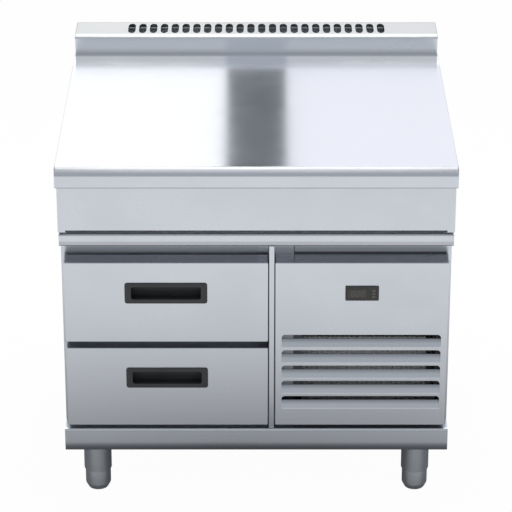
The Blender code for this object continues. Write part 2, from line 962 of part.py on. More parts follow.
def build_gasket(drawer, bottom, top, pull):
    inner = gasket_inset + gasket_width
    front = core_back + seat
    back = body_y - seat
    ring = block(
        (fronts_left + gasket_inset, front, bottom + gasket_inset),
        (drawer_right - gasket_inset, back - gasket_lip, top - gasket_inset),
    )
    bead = block(
        (fronts_left + gasket_inset + gasket_lip, front, bottom + gasket_inset + gasket_lip),
        (drawer_right - gasket_inset - gasket_lip, back, top - gasket_inset - gasket_lip),
    )
    hole = block(
        (fronts_left + inner, front - overrun, bottom + inner),
        (drawer_right - inner, back + overrun, top - inner),
    )
    piece(cut(join(ring, bead), hole), f"{drawer}_gasket", "rubber", pull)


def build_pan_frame(drawer, opening_top, pull):
    high = opening_top - frame_top_gap
    low = high - frame_height
    level = (high + low) / 2
    left = chamber_left + slide_space
    right = chamber_right - slide_space
    front = core_back + seat
    back = front + frame_length
    ring = block((left, front, low), (right, back, high))
    well = block(
        (left + top_sheet, front + top_sheet, low + top_sheet),
        (right - top_sheet, back - top_sheet, high + overrun),
    )
    drop = block(
        (left + frame_ledge, front + frame_ledge, low - overrun),
        (right - frame_ledge, back - frame_ledge, low + top_sheet + bite),
    )
    cut(ring, well, drop)
    start = seat + 2 * (slide_sheet + slide_clearance)
    rise = slide_height / 2 - 2 * (slide_sheet + slide_clearance)
    near = front + runner_front_gap
    runners = [
        block((chamber_left + start, near, level - rise), (left + bite, back, level + rise)),
        block((right - bite, near, level - rise), (chamber_right - start, back, level + rise)),
    ]
    piece(join(ring, *runners), f"{drawer}_pan_frame", "steel", pull)
    build_slides(drawer, level)


def comb(left, right, front, back, fins, spine):
    """The plan outline of a finned block, with its fins towards the front."""
    fin = (right - left) * fin_share / fins
    pitch = (right - left - fin) / (fins - 1)
    points = []
    for index in range(fins):
        start = left + index * pitch
        points += [(start, back - spine), (start, front), (start + fin, front), (start + fin, back - spine)]
    points[0] = (left, back)
    points[-1] = (right, back)
    return points


def bent(points, radius):
    """Round the inner corners of a route of straight runs."""
    route = [Vector(points[0])]
    for before, corner, after in zip(points, points[1:], points[2:]):
        corner = Vector(corner)
        entry = (Vector(before) - corner).normalized()
        leave = (Vector(after) - corner).normalized()
        centre = corner + (entry + leave) * radius
        for step in range(arc_steps + 1):
            angle = math.pi / 2 * step / arc_steps
            route.append(centre - leave * radius * math.cos(angle) - entry * radius * math.sin(angle))
    route.append(Vector(points[-1]))
    return route


def tube(points, radius):
    """A round tube along a route, as a mesh."""
    line = bpy.data.curves.new("tube", "CURVE")
    line.dimensions = "3D"
    line.bevel_depth = radius
    line.bevel_resolution = 2
    line.use_fill_caps = True
    spline = line.splines.new("POLY")
    spline.points.add(len(points) - 1)
    for slot, point in zip(spline.points, points):
        slot.co = (*point, 1.0)
    guide = bpy.data.objects.new("tube", line)
    bpy.context.scene.collection.objects.link(guide)
    state = bpy.context.evaluated_depsgraph_get()
    mesh = bpy.data.meshes.new_from_object(guide.evaluated_get(state))
    bpy.data.objects.remove(guide, do_unlink=True)
    shape = bmesh.new()
    shape.from_mesh(mesh)
    bmesh.ops.remove_doubles(shape, verts=shape.verts, dist=weld)
    made = solid(shape)
    made.data.shade_smooth()
    made.data.set_sharp_from_angle(angle=math.radians(45))
    return made


def fan(name, centre, hub_radius, tip_radius, length, finish):
    """A hub with swept blades that turns about Y; the centre is on the hub's front face."""
    profile = [(0, 0), (hub_radius * blade_root_share, 0), (hub_radius, hub_radius * (1 - blade_root_share)),
               (hub_radius, length), (0, length)]
    hub = turned(profile, (0, 0, 0), "y", small_steps)
    blades = []
    for index in range(blade_count):
        base = 2 * math.pi * index / blade_count
        shape = bmesh.new()
        faces = []
        for lift in (0, blade_sheet):
            rows = []
            for radius, lean, share in (
                (hub_radius - blade_sheet, 0, blade_root_share),
                ((hub_radius + tip_radius) / 2, blade_sweep / 2, (blade_root_share + blade_tip_share) / 2),
                (tip_radius, blade_sweep, blade_tip_share),
            ):
                row = []
                for step in range(3):
                    along_chord = step / 2
                    angle = base + lean + blade_chord * along_chord
                    reach = (length - blade_sheet) * ((1 - share) / 2 + share * along_chord) + lift
                    row.append(shape.verts.new((radius * math.cos(angle), reach, radius * math.sin(angle))))
                rows.append(row)
            faces.append(rows)
        low, high = faces
        for i in range(2):
            for j in range(2):
                shape.faces.new((low[i][j], low[i][j + 1], low[i + 1][j + 1], low[i + 1][j]))
                shape.faces.new((high[i][j], high[i + 1][j], high[i + 1][j + 1], high[i][j + 1]))
        edge_low = low[0] + [low[1][2]] + low[2][::-1] + [low[1][0]]
        edge_high = high[0] + [high[1][2]] + high[2][::-1] + [high[1][0]]
        for index_a in range(len(edge_low)):
            after = (index_a + 1) % len(edge_low)
            shape.faces.new((edge_low[index_a], edge_high[index_a], edge_high[after], edge_low[after]))
        blades.append(solid(shape))
    join(hub, *blades)
    hub.data.transform(Matrix.Translation(Vector(centre)))
    piece(hub, name, finish, centre)


def build_evaporator():
    fan_z = chamber_floor + chamber_height * chill_fan_rise_share
    plate = block(
        (chamber_left + seat, cover_y - skin, chamber_floor + seat),
        (chamber_right - seat, cover_y, chamber_roof - seat),
    )
    hole = chill_fan_radius + chill_hole_clearance
    profile = [(0, -overrun), (hole, -overrun), (hole, overrun), (0, overrun)]
    tools = [turned(profile, (chamber_middle, cover_y, fan_z), "y")]
    for index in range(cover_vent_count):
        middle = chamber_middle + (index - (cover_vent_count - 1) / 2) * cover_vent_pitch
        high = chamber_roof - coil_top_gap - cover_vent_height
        outline = rounded(
            middle - cover_vent_width / 2, middle + cover_vent_width / 2,
            high - cover_vent_height, high, cover_vent_height / 2 - bite,
        )
        tools.append(prism(outline, "y", cover_y - overrun, cover_y + overrun))
    piece(cut(plate, *tools), "evaporator_cover", "steel")

    fan_y = cover_y + chill_fan_gap
    fan("evaporator_fan", (chamber_middle, fan_y, fan_z), chill_fan_radius * chill_hub_share,
        chill_fan_radius, chill_fan_length, "black_plastic")
    motor_y = fan_y + chill_fan_length + seat
    end = chamber_back - seat
    can = chill_fan_radius * chill_motor_share
    boss = chill_fan_radius * chill_boss_share
    step = end - chill_boss_length
    profile = [(0, motor_y), (can, motor_y), (can, step), (boss, step), (boss, end), (0, end)]
    piece(turned(profile, (chamber_middle, 0, fan_z), "y"), "evaporator_motor", "black_paint")

    right = chamber_right - coil_side_gap
    left = right - coil_width
    high = chamber_roof - coil_top_gap
    outline = comb(left, right, end - coil_depth, end, coil_fins, coil_spine)
    piece(prism(outline, "z", high - coil_height, high), "evaporator_coil", "aluminium")


def build_condensing_unit():
    near = body_y + sled_front
    far = carcass_back_y - sled_back
    tray = block((sled_left, near, floor_z), (sled_right, far, floor_z + sled_wall))
    hollow = block(
        (sled_left + top_sheet, near + top_sheet, floor_z + top_sheet),
        (sled_right - top_sheet, far - top_sheet, floor_z + sled_wall + overrun),
    )
    piece(cut(tray, hollow), "machine_sled", "galvanised")

    deck = floor_z + top_sheet + seat
    middle = (sled_left + sled_right) / 2
    left = middle - condenser_width / 2
    right = middle + condenser_width / 2
    front = near + condenser_front
    back = front + condenser_depth
    high = deck + condenser_height
    fan_z = (deck + high) / 2
    fan_reach = shroud_depth + air_fan_length + air_motor_length
    compressor_y = back + fan_reach + compressor_gap + compressor_radius
    fins = prism(comb(left, right, front, back, condenser_fins, condenser_spine), "z", deck, high)
    root = condenser_width * fin_share / condenser_fins / 2
    outlet = bent(
        [
            (right - root, (front + back) / 2, deck + pipe_rise),
            (right + discharge_right, (front + back) / 2, deck + pipe_rise),
            (right + discharge_right, compressor_y, deck + pipe_rise),
            (middle + compressor_radius + seat, compressor_y, deck + pipe_rise),
        ],
        discharge_right / 2,
    )
    piece(join(fins, tube(outlet, pipe_radius)), "condenser", "aluminium")

    shroud_front = back + seat
    shroud_back = shroud_front + shroud_depth
    shroud = block((left, shroud_front, deck), (right, shroud_back, high))
    room = block(
        (left + skin, shroud_front - overrun, deck + skin), (right - skin, shroud_back - skin, high - skin),
    )
    hole = air_fan_radius + air_hole_clearance
    profile = [(0, -overrun), (hole, -overrun), (hole, overrun), (0, overrun)]
    piece(cut(shroud, room, turned(profile, (middle, shroud_back, fan_z), "y")), "fan_shroud", "black_paint")

    fan_y = shroud_back + air_fan_gap
    hub = air_fan_radius * air_hub_share
    fan("condenser_fan", (middle, fan_y, fan_z), hub, air_fan_radius, air_fan_length, "aluminium")
    motor_y = fan_y + air_fan_length + seat
    motor_end = motor_y + air_motor_length
    profile = [(0, motor_y), (air_motor_radius, motor_y), (air_motor_radius, motor_end), (0, motor_end)]
    motor = turned(profile, (middle, 0, fan_z), "y")
    stand_y = (motor_y + motor_end) / 2
    stand_half = air_fan_radius * air_stand_share / 2
    stand = block(
        (middle - stand_half, stand_y - air_stand_depth / 2, deck),
        (middle + stand_half, stand_y + air_stand_depth / 2, fan_z - air_motor_radius / 2),
    )
    piece(join(motor, stand), "condenser_motor", "black_paint")

    build_compressor(middle, compressor_y, deck)
    build_suction_pipe(middle, compressor_y, deck)
    build_switch_box()


def build_compressor(x, y, deck):
    top = deck + compressor_height
    belt = deck + compressor_height / 2
    seam = compressor_radius - bite
    dome = compressor_radius * compressor_dome_share
    profile = [(0, deck + compressor_foot / 2)]
    profile += arc((seam - dome, deck + dome), dome, 270, 360)
    profile += [
        (seam, belt - compressor_seam_height / 2),
        (compressor_radius, belt - compressor_seam_height / 2),
        (compressor_radius, belt + compressor_seam_height / 2),
        (seam, belt + compressor_seam_height / 2),
    ]
    profile += arc((seam - dome, top - dome), dome, 0, 90)
    profile += [(0, top)]
    can = turned(profile, (x, y, 0))
    reach = sled_width * compressor_foot_width_share / 2
    depth_half = sled_width * compressor_foot_depth_share / 2
    foot = block(
        (x - reach, y - depth_half, deck), (x + reach, y + depth_half, deck + compressor_foot),
    )
    piece(join(can, foot), "compressor", "black_paint")


def build_suction_pipe(x, y, deck):
    level = deck + pipe_rise
    start = x - compressor_radius - seat
    turn = bay_left + suction_left
    end = chamber_right - coil_side_gap + seat
    route = bent(
        [
            (start, y, level), (turn, y, level), (turn, y, pipe_z),
            (turn, pipe_y, pipe_z), (end, pipe_y, pipe_z),
        ],
        pipe_bend,
    )
    piece(tube(route, pipe_radius), "suction_pipe", "copper")


def build_switch_box():
    right = bay_right - seat
    back = carcass_back_y - switch_box_back
    low = leg_height + switch_box_rise
    outline = rounded(back - switch_box_depth, back, low, low + switch_box_height, switch_box_corner)
    piece(prism(outline, "x", right - switch_box_width, right), "switch_box", "grey_plastic")


def build_cord_gland():
    panel = carcass_back_y + seat
    outer = panel + skin + seat
    nut = panel - seat
    profile = [
        (gland_bore_radius, nut - gland_nut), (gland_flange_radius, nut - gland_nut),
        (gland_flange_radius, nut), (gland_neck_radius, nut), (gland_neck_radius, outer), (gland_flange_radius, outer),
        (gland_flange_radius, outer + gland_flange / 2), (gland_neck_radius, outer + gland_flange),
        (gland_bore_radius, outer + gland_flange),
    ]
    piece(turned(profile, (gland_x, 0, gland_z), "y", small_steps), "cord_gland", "black_plastic")


controller_z = fronts_top - handle_drop - handle_height / 2
pipe_y = chamber_back - coil_depth / 2
pipe_z = chamber_roof - coil_top_gap - coil_height / 2

for leftover in list(bpy.data.objects):
    bpy.data.objects.remove(leftover, do_unlink=True)

build_worktop()
build_splashback()
build_apron()
build_skirts()
build_carcass_top()
build_base_tray()
build_mullion()
build_sides()
build_back_panel()
build_liner()
build_insulation()
build_cross_bar()
build_bay_frame()
build_service_panel()
build_controller()
build_legs()
build_drawer("lower", fronts_bottom, bar_low)
build_drawer("upper", upper_bottom, chamber_roof)
build_evaporator()
build_condensing_unit()
build_cord_gland()
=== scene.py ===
import math

import bmesh
import bpy
from mathutils import Matrix, Vector


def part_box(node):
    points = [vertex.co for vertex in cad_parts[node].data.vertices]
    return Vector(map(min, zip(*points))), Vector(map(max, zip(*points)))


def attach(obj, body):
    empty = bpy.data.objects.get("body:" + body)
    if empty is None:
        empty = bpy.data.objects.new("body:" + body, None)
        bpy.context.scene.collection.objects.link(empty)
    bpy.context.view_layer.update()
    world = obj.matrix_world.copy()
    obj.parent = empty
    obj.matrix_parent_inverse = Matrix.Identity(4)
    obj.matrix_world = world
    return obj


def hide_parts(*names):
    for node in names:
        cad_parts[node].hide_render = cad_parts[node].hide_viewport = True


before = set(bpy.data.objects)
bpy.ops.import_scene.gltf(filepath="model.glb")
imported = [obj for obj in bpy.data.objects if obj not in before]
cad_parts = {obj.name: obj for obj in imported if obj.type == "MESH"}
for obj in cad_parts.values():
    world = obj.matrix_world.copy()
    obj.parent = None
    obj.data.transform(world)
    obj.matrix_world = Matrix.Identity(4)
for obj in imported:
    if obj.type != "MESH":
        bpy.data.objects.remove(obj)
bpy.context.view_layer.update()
print("frame loaded")

topSheet = 0.0015
skinSheet = 0.0012
seat = 0.0003
overlap = 0.0006
hair = 0.00005
past = 0.010


# Outlines are lists of (u, v, curved); curved tells that the edge to the next point is part of an arc.
def arcPoints(centreU, centreV, radius, start, end, steps):
    points = []
    for step in range(steps + 1):
        angle = math.radians(start + (end - start) * step / steps)
        points.append((centreU + radius * math.cos(angle), centreV + radius * math.sin(angle), step < steps))
    return points


def roundRect(left, right, low, high, radius, steps=6):
    return (
        arcPoints(right - radius, high - radius, radius, 0, 90, steps)
        + arcPoints(left + radius, high - radius, radius, 90, 180, steps)
        + arcPoints(left + radius, low + radius, radius, 180, 270, steps)
        + arcPoints(right - radius, low + radius, radius, 270, 360, steps)
    )


# The front view of a box, drawn in by inset.
def frontRect(low, high, inset, radius, steps=6):
    return roundRect(low.x + inset, high.x - inset, low.z + inset, high.z - inset, radius, steps)


def straight(*points):
    return [(u, v, False) for u, v in points]


def noseOutline(front, back, low, high, topRadius, lowRadius, steps):
    return (
        straight((back, high))
        + arcPoints(front + topRadius, high - topRadius, topRadius, 90, 180, steps)
        + arcPoints(front + lowRadius, low + lowRadius, lowRadius, 180, 270, steps)
        + straight((back, low))
    )


# The outline run the other way, and mirrored where side is -1.
def reversedOutline(outline, side=1):
    return [(side * u, v, outline[index - 1][2]) for index, (u, v, _) in enumerate(outline)][::-1]


def turnedLeft(outline):
    area = sum(u * after[1] - after[0] * v for (u, v, _), after in zip(outline, outline[1:] + outline[:1]))
    return outline if area > 0 else reversedOutline(outline)


# A sheet that follows an open path, with its thickness on the path's left and round bends.
def foldedOutline(path, wall, bend, steps=6, leastShare=0.2):
    near = []
    far = []
    for index, point in enumerate(path):
        point = Vector(point)
        before = (point - Vector(path[index - 1])).normalized() if index else None
        after = (Vector(path[index + 1]) - point).normalized() if index + 1 < len(path) else None
        sides = [Vector((-way.y, way.x)) for way in (before, after) if way]
        if len(sides) == 1:
            near.append((*point, False))
            far.append((*(point + sides[0] * wall), False))
            continue
        mean = (sides[0] + sides[1]) / (1 + sides[0].dot(sides[1]))
        outer = bend[index] if isinstance(bend, list) else bend
        inner = max(outer - wall, wall * leastShare)
        cross = before.x * after.y - before.y * after.x
        nearRadius, farRadius = (inner + wall, inner) if cross > 0 else (-inner, -inner - wall)
        centre = point + mean * nearRadius
        turn = math.atan2(cross, before.dot(after))
        for step in range(steps + 1):
            way = -(Matrix.Rotation(turn * step / steps, 2) @ sides[0])
            near.append((*(centre + way * nearRadius), step < steps))
            far.append((*(centre + way * farRadius), step > 0))
    return near + far[::-1]


def shrunk(outline, distance, least=0.2):
    made = []
    for index, point in enumerate(outline):
        here = Vector(point[:2])
        before = here - Vector(outline[index - 1][:2])
        after = Vector(outline[(index + 1) % len(outline)][:2]) - here
        sides = [Vector((-way.y, way.x)).normalized() for way in (before, after)]
        mean = (sides[0] + sides[1]) / max(1 + sides[0].dot(sides[1]), least)
        made.append((*(here + mean * distance), point[2]))
    return made


# The places of a row about zero.
def centred(count, pitch):
    return [(index - (count - 1) / 2) * pitch for index in range(count)]


def placePoint(axis, u, v, reach):
    return {"x": (reach, u, v), "y": (u, reach, v), "z": (u, v, reach)}[axis]


def asObject(shape, name="tool"):
    bmesh.ops.recalc_face_normals(shape, faces=shape.faces)
    mesh = bpy.data.meshes.new(name)
    shape.to_mesh(mesh)
    shape.free()
    made = bpy.data.objects.new(name, mesh)
    bpy.context.scene.collection.objects.link(made)
    return made


# Faces between two rings of points; smooth is one flag per edge of the ring.
def bridge(shape, near, far, smooth):
    for index, flag in enumerate(smooth):
        after = (index + 1) % len(near)
        face = shape.faces.new((near[index], near[after], far[after], far[index]))
        face.smooth = flag


# Rings are (outline, reach, curved) with equal point counts; curved rings round off towards the next ring.
def stackRings(rings, axis, closed=False):
    shape = bmesh.new()
    loops = []
    for outline, reach, _ in rings:
        loops.append([shape.verts.new(placePoint(axis, u, v, reach)) for u, v, _ in outline])
    for (outline, _, curved), near, far in zip(rings, loops, loops[1:] + (loops[:1] if closed else [])):
        bridge(shape, near, far, [curved or point[2] for point in outline])
    if not closed:
        shape.faces.new(loops[0])
        shape.faces.new(loops[-1])
    return asObject(shape)


# The steps of a quarter round, as what is left to go inwards and what is gone along.
def quarterRound(radius, steps):
    angles = [math.radians(90 * step / steps) for step in range(steps + 1)]
    return [(radius * (1 - math.sin(angle)), radius * (1 - math.cos(angle))) for angle in angles]


# Extrudes an outline along an axis and rounds the edges of both ends, or of the first, by soft.
def extrude(outline, axis, start, end, soft=0.0, steps=4, bothEnds=True):
    outline = turnedLeft(outline)
    first = quarterRound(soft, steps) if soft else [(0, 0)]
    last = first[::-1] if bothEnds else [(0, 0)]
    rings = [(shrunk(outline, inset), start + rise, inset > 0) for inset, rise in first]
    rings += [(shrunk(outline, inset), end - rise, inset < soft) for inset, rise in last]
    return stackRings(rings, axis)


def box(low, high):
    outline = straight((low[0], low[1]), (high[0], low[1]), (high[0], high[1]), (low[0], high[1]))
    return extrude(outline, "z", low[2], high[2])


# A box in a front, drawn in by inset as it is seen from the front.
def frontBox(low, high, inset, front, back):
    return box((low.x + inset, front, low.z + inset), (high.x - inset, back, high.z - inset))


# A slab in a front, with rounded corners and its front edge rounded by soft.
def frontSlab(low, high, inset, corner, front, back, soft=0.0, steps=6, softSteps=4):
    outline = frontRect(low, high, inset, corner, steps)
    return extrude(outline, "y", front, back, soft, softSteps, bothEnds=False)


# Turns a closed profile of (radius, height) points about an axis.
def turned(profile, centre, axis="z", steps=64, flat=1e-7):
    shape = bmesh.new()
    rings = []
    for radius, height in profile:
        ring = []
        for step in range(steps if radius else 1):
            angle = 2 * math.pi * step / steps
            place = placePoint(axis, radius * math.cos(angle), radius * math.sin(angle), height)
            ring.append(shape.verts.new(place))
        rings.append(ring if radius else ring * steps)
    for level, near in enumerate(rings):
        above = (level + 1) % len(rings)
        far = rings[above]
        for step in range(steps):
            after = (step + 1) % steps
            distinct = list(dict.fromkeys((near[step], near[after], far[after], far[step])))
            if len(distinct) > 2:
                face = shape.faces.new(distinct)
                face.smooth = abs(profile[level][1] - profile[above][1]) > flat
    bmesh.ops.translate(shape, vec=Vector(centre), verts=shape.verts)
    return asObject(shape)


# Rounds the corners of a turned profile given as (radius, height, corner radius).
def easedProfile(points, steps=4):
    made = []
    for index, (radius, height, corner) in enumerate(points):
        if not corner:
            made.append((radius, height))
            continue
        here = Vector((radius, height))
        before = (Vector(points[index - 1][:2]) - here).normalized()
        after = (Vector(points[(index + 1) % len(points)][:2]) - here).normalized()
        for step in range(steps + 1):
            share = step / steps
            start = here + before * corner * (1 - share)
            made.append(tuple(start.lerp(here + after * corner * share, share)))
    return made


def combined(target, tools, operation):
    for tool in tools:
        change = target.modifiers.new("change", "BOOLEAN")
        change.operation = operation
        change.solver = "EXACT"
        change.object = tool
    state = bpy.context.evaluated_depsgraph_get()
    result = bpy.data.meshes.new_from_object(target.evaluated_get(state))
    target.modifiers.clear()
    target.data = result
    for tool in tools:
        bpy.data.objects.remove(tool, do_unlink=True)
    return target


def cutAway(target, *tools):
    return combined(target, tools, "DIFFERENCE")


def weldOn(target, *tools):
    return combined(target, tools, "UNION")


# Flat faces keep their own normal, and curved faces run smoothly into them.
def settleNormals(mesh, flatAngle=35, curveAngle=50):
    shape = bmesh.new()
    shape.from_mesh(mesh)
    flatLimit = math.cos(math.radians(flatAngle))
    curveLimit = math.cos(math.radians(curveAngle))
    normals = []
    for face in shape.faces:
        for corner in face.loops:
            normal = face.normal
            if face.smooth:
                flats = [f.normal for f in corner.vert.link_faces if not f.smooth]
                flats = [flat for flat in flats if flat.dot(face.normal) > flatLimit]
                if flats:
                    normal = max(flats, key=face.normal.dot)
                else:
                    total = Vector((0, 0, 0))
                    for other in corner.vert.link_loops:
                        if other.face.normal.dot(face.normal) > curveLimit:
                            total += other.face.normal * other.calc_angle()
                    normal = total.normalized()
            normals.append(tuple(normal))
    shape.free()
    mesh.shade_smooth()
    mesh.normals_split_custom_set(normals)


def finishPiece(made, name, paint, node=None, body="cabinet"):
    made.name = name
    made.data.name = name
    settleNormals(made.data)
    made.data.materials.clear()
    made.data.materials.append(paints[paint])
    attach(made, body)
    if node:
        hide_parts(node)


# Shader node helpers: an input is a value, or another node's output that is wired to it.
def setInputs(node, values):
    for key, value in values.items():
        if isinstance(value, bpy.types.NodeSocket):
            node.id_data.links.new(value, node.inputs[key])
        else:
            node.inputs[key].default_value = value


def addNode(tree, kind, values, **settings):
    node = tree.nodes.new(f"ShaderNode{kind}")
    for name, value in settings.items():
        setattr(node, name, value)
    setInputs(node, values)
    return node


# New nodes go into the tree of the output that they take first.
def mathNode(operation, first, second, clamp=False):
    values = {0: first, 1: second}
    return addNode(first.id_data, "Math", values, operation=operation, use_clamp=clamp).outputs[0]


# Adds to a start the given outputs, each times its share.
def weightedSum(total, *terms):
    for source, share in terms:
        total = mathNode("ADD", mathNode("MULTIPLY", source, share), total)
    return total


def rampNode(source, low, high, start=0.0, end=1.0):
    values = {"Value": source, "From Min": low, "From Max": high, "To Min": start, "To Max": end}
    return addNode(source.id_data, "MapRange", values, interpolation_type="SMOOTHSTEP").outputs["Result"]


def scaledVector(vector, scale):
    values = {0: vector, "Scale": scale}
    return addNode(vector.id_data, "VectorMath", values, operation="SCALE").outputs["Vector"]


def objectPlace(tree):
    return tree.nodes.new("ShaderNodeTexCoord").outputs["Object"]


def noiseNode(vector, scale, detail, roughness, stretch=None):
    tree = vector.id_data
    if stretch is not None:
        vector = addNode(tree, "Mapping", {"Vector": vector, "Scale": stretch}).outputs["Vector"]
    values = {"Vector": vector, "Scale": scale, "Detail": detail, "Roughness": roughness}
    return addNode(tree, "TexNoise", values).outputs["Fac"]


def newGroup(name, inputs, outputs):
    tree = bpy.data.node_groups.new(name, "ShaderNodeTree")
    for socketName, value in inputs.items():
        kind = "NodeSocketVector" if isinstance(value, tuple) else "NodeSocketFloat"
        socket = tree.interface.new_socket(name=socketName, in_out="INPUT", socket_type=kind)
        socket.default_value = value
    for socketName in outputs:
        tree.interface.new_socket(name=socketName, in_out="OUTPUT", socket_type="NodeSocketFloat")
    return tree, tree.nodes.new("NodeGroupInput").outputs, tree.nodes.new("NodeGroupOutput")


# Fine brush lines: Stretch squeezes the noise across the grain.
def makeGrainGroup(coarseScale=0.22, fineShare=0.65, coarseShare=0.35, middle=0.5):
    inputs = {"Stretch": (2.0, 260.0, 260.0), "Contrast": 1.0}
    tree, entry, leave = newGroup("brushGrain", inputs, ("Height", "Tone"))
    place = objectPlace(tree)
    fine = noiseNode(place, 1.0, 3.0, 0.6, entry["Stretch"])
    coarse = noiseNode(place, 1.0, 3.0, 0.5, scaledVector(entry["Stretch"], coarseScale))
    height = weightedSum(0.0, (fine, fineShare), (coarse, coarseShare))
    spread = mathNode("MULTIPLY", mathNode("SUBTRACT", height, middle), entry["Contrast"])
    setInputs(leave, {"Height": height, "Tone": mathNode("ADD", spread, middle, True)})
    return tree


# Cloudy wipe marks and a few finger smears, as masks.
def makeSmearGroup():
    tree, entry, leave = newGroup("wipeMarks", {"Size": 1.0, "Amount": 1.0}, ("Clouds", "Smears"))
    place = scaledVector(objectPlace(tree), entry["Size"])
    clouds = noiseNode(place, 4.0, 5.0, 0.6)
    smears = noiseNode(place, 9.0, 4.0, 0.55, (0.6, 2.2, 1.4))
    shown = mathNode("MULTIPLY", rampNode(smears, 0.52, 0.74), entry["Amount"])
    setInputs(leave, {"Clouds": rampNode(clouds, 0.35, 0.68), "Smears": shown})
    return tree


# Small bumps of a moulded or cast surface.
def makeMouldGroup():
    tree, entry, leave = newGroup("mouldedGrain", {"Fineness": 900.0}, ("Height", "Blotches"))
    pits = noiseNode(scaledVector(objectPlace(tree), entry["Fineness"]), 1.0, 2.0, 0.5)
    blotches = noiseNode(objectPlace(tree), 14.0, 4.0, 0.6)
    setInputs(leave, {"Height": pits, "Blotches": rampNode(blotches, 0.3, 0.7)})
    return tree


# Zinc flowers of a galvanised sheet.
def makeSpangleGroup():
    tree, entry, leave = newGroup("zincSpangle", {"Scale": 90.0}, ("Tone", "Height"))
    cells = addNode(tree, "TexVoronoi", {"Vector": objectPlace(tree), "Scale": entry["Scale"]})
    split = addNode(tree, "SeparateColor", {"Color": cells.outputs["Color"]})
    setInputs(leave, {"Tone": split.outputs["Red"], "Height": cells.outputs["Distance"]})
    return tree


grainGroup = makeGrainGroup()
smearGroup = makeSmearGroup()
mouldGroup = makeMouldGroup()
spangleGroup = makeSpangleGroup()
paints = {}


def useGroup(tree, group, **values):
    return addNode(tree, "Group", values, node_tree=group).outputs


def startMaterial(name):
    made = bpy.data.materials.new(name)
    made.use_nodes = True
    paints[name] = made
    return made.node_tree, made.node_tree.nodes["Principled BSDF"]


def opaque(colour):
    return (*colour, 1.0) if isinstance(colour, tuple) else colour


def mixColour(mask, first, second):
    values = {"Factor": mask, 6: opaque(first), 7: opaque(second)}
    return addNode(mask.id_data, "Mix", values, data_type="RGBA").outputs[2]


def addBump(shader, height, strength, depth):
    bump = addNode(shader.id_data, "Bump", {"Height": height, "Strength": strength, "Distance": depth})
    setInputs(shader, {"Normal": bump.outputs["Normal"]})


# The mask of a zone is the product of its ramps along the axes. A ramp is the place of a face and the two
# distances from it where the mask is 0 and 1.
def zoneMask(tree, zone):
    if "rim" in zone:
        facing = addNode(tree, "LayerWeight", {"Blend": 0.5})
        return rampNode(facing.outputs["Facing"], *zone["rim"])
    split = addNode(tree, "SeparateXYZ", {"Vector": objectPlace(tree)})
    mask = None
    for axis in "xyz":
        for face, start, end in zone.get(axis, ()):
            level = rampNode(split.outputs[axis.upper()], face + start, face + end)
            mask = level if mask is None else mathNode("MULTIPLY", mask, level)
    return mask


# Brushed stainless steel; stretch squeezes the grain, and streak is the way the gloss is drawn out.
def makeSteel(
    name, stretch, streak, *zones, light=(0.735, 0.772, 0.828), dark=(0.672, 0.708, 0.764), roughness=0.24,
    anisotropy=0.55, metallic=1.0, grainDepth=0.00003, grainContrast=0.9, grainRough=0.06, grainBump=0.35,
    smearSize=1.0, smearAmount=0.4, smearRough=0.05, cloudRough=0.03,
):
    tree, shader = startMaterial(name)
    grain = useGroup(tree, grainGroup, Stretch=stretch, Contrast=grainContrast)
    smears = useGroup(tree, smearGroup, Size=smearSize, Amount=smearAmount)
    colour = mixColour(grain["Tone"], dark, light)
    clouds = (smears["Clouds"], cloudRough)
    rough = weightedSum(roughness, clouds, (smears["Smears"], smearRough), (grain["Tone"], grainRough))
    shine = metallic
    # A zone's tone is painted light or shade mixed into the colour; its roughness and metallic change the
    # finish there.
    for zone in zones:
        mask = zoneMask(tree, zone)
        if "tone" in zone:
            colour = mixColour(mask, colour, zone["tone"])
        if "rough" in zone:
            rough = weightedSum(rough, (mask, zone["rough"]))
        if "metallic" in zone:
            shine = weightedSum(metallic, (mask, zone["metallic"] - metallic))
    tangent = addNode(tree, "CombineXYZ", dict(enumerate(streak))).outputs["Vector"]
    setInputs(shader, {"Base Color": colour, "Roughness": rough, "Metallic": shine, "Tangent": tangent})
    setInputs(shader, {"Anisotropic": anisotropy})
    addBump(shader, grain["Height"], grainBump, grainDepth)


def makeZinc(
    name, dark=(0.40, 0.42, 0.44), light=(0.56, 0.58, 0.60), roughness=0.34, flowerScale=110.0,
    flowerRough=0.12, smearSize=2.0, cloudRough=0.08, metallic=0.9, bump=0.2, depth=0.0001,
):
    tree, shader = startMaterial(name)
    spangle = useGroup(tree, spangleGroup, Scale=flowerScale)
    smears = useGroup(tree, smearGroup, Size=smearSize)
    colour = mixColour(spangle["Tone"], dark, light)
    rough = weightedSum(roughness, (spangle["Tone"], flowerRough), (smears["Clouds"], cloudRough))
    setInputs(shader, {"Base Color": colour, "Roughness": rough, "Metallic": metallic})
    addBump(shader, spangle["Height"], bump, depth)


def makeMoulded(
    name, dark, light, roughness, fineness, depth, metallic=0.0, smearSize=4.0, smearRough=0.10,
    blotchRough=0.06, bump=0.3,
):
    tree, shader = startMaterial(name)
    mould = useGroup(tree, mouldGroup, Fineness=fineness)
    smears = useGroup(tree, smearGroup, Size=smearSize)
    colour = mixColour(mould["Blotches"], dark, light)
    rough = weightedSum(roughness, (smears["Smears"], smearRough), (mould["Blotches"], blotchRough))
    setInputs(shader, {"Base Color": colour, "Roughness": rough, "Metallic": metallic})
    addBump(shader, mould["Height"], bump, depth)


# Smoked window: a dark gloss panel with faint wipe marks.
def makeWindow(
    name, dark=(0.032, 0.031, 0.028), light=(0.042, 0.041, 0.036), roughness=0.14, smearSize=12.0,
    smearRough=0.12, coat=0.2, coatRoughness=0.08,
):
    tree, shader = startMaterial(name)
    smears = useGroup(tree, smearGroup, Size=smearSize)
    colour = mixColour(smears["Clouds"], dark, light)
    rough = weightedSum(roughness, (smears["Smears"], smearRough))
    setInputs(shader, {
        "Base Color": colour, "Roughness": rough, "Coat Weight": coat, "Coat Roughness": coatRoughness,
    })


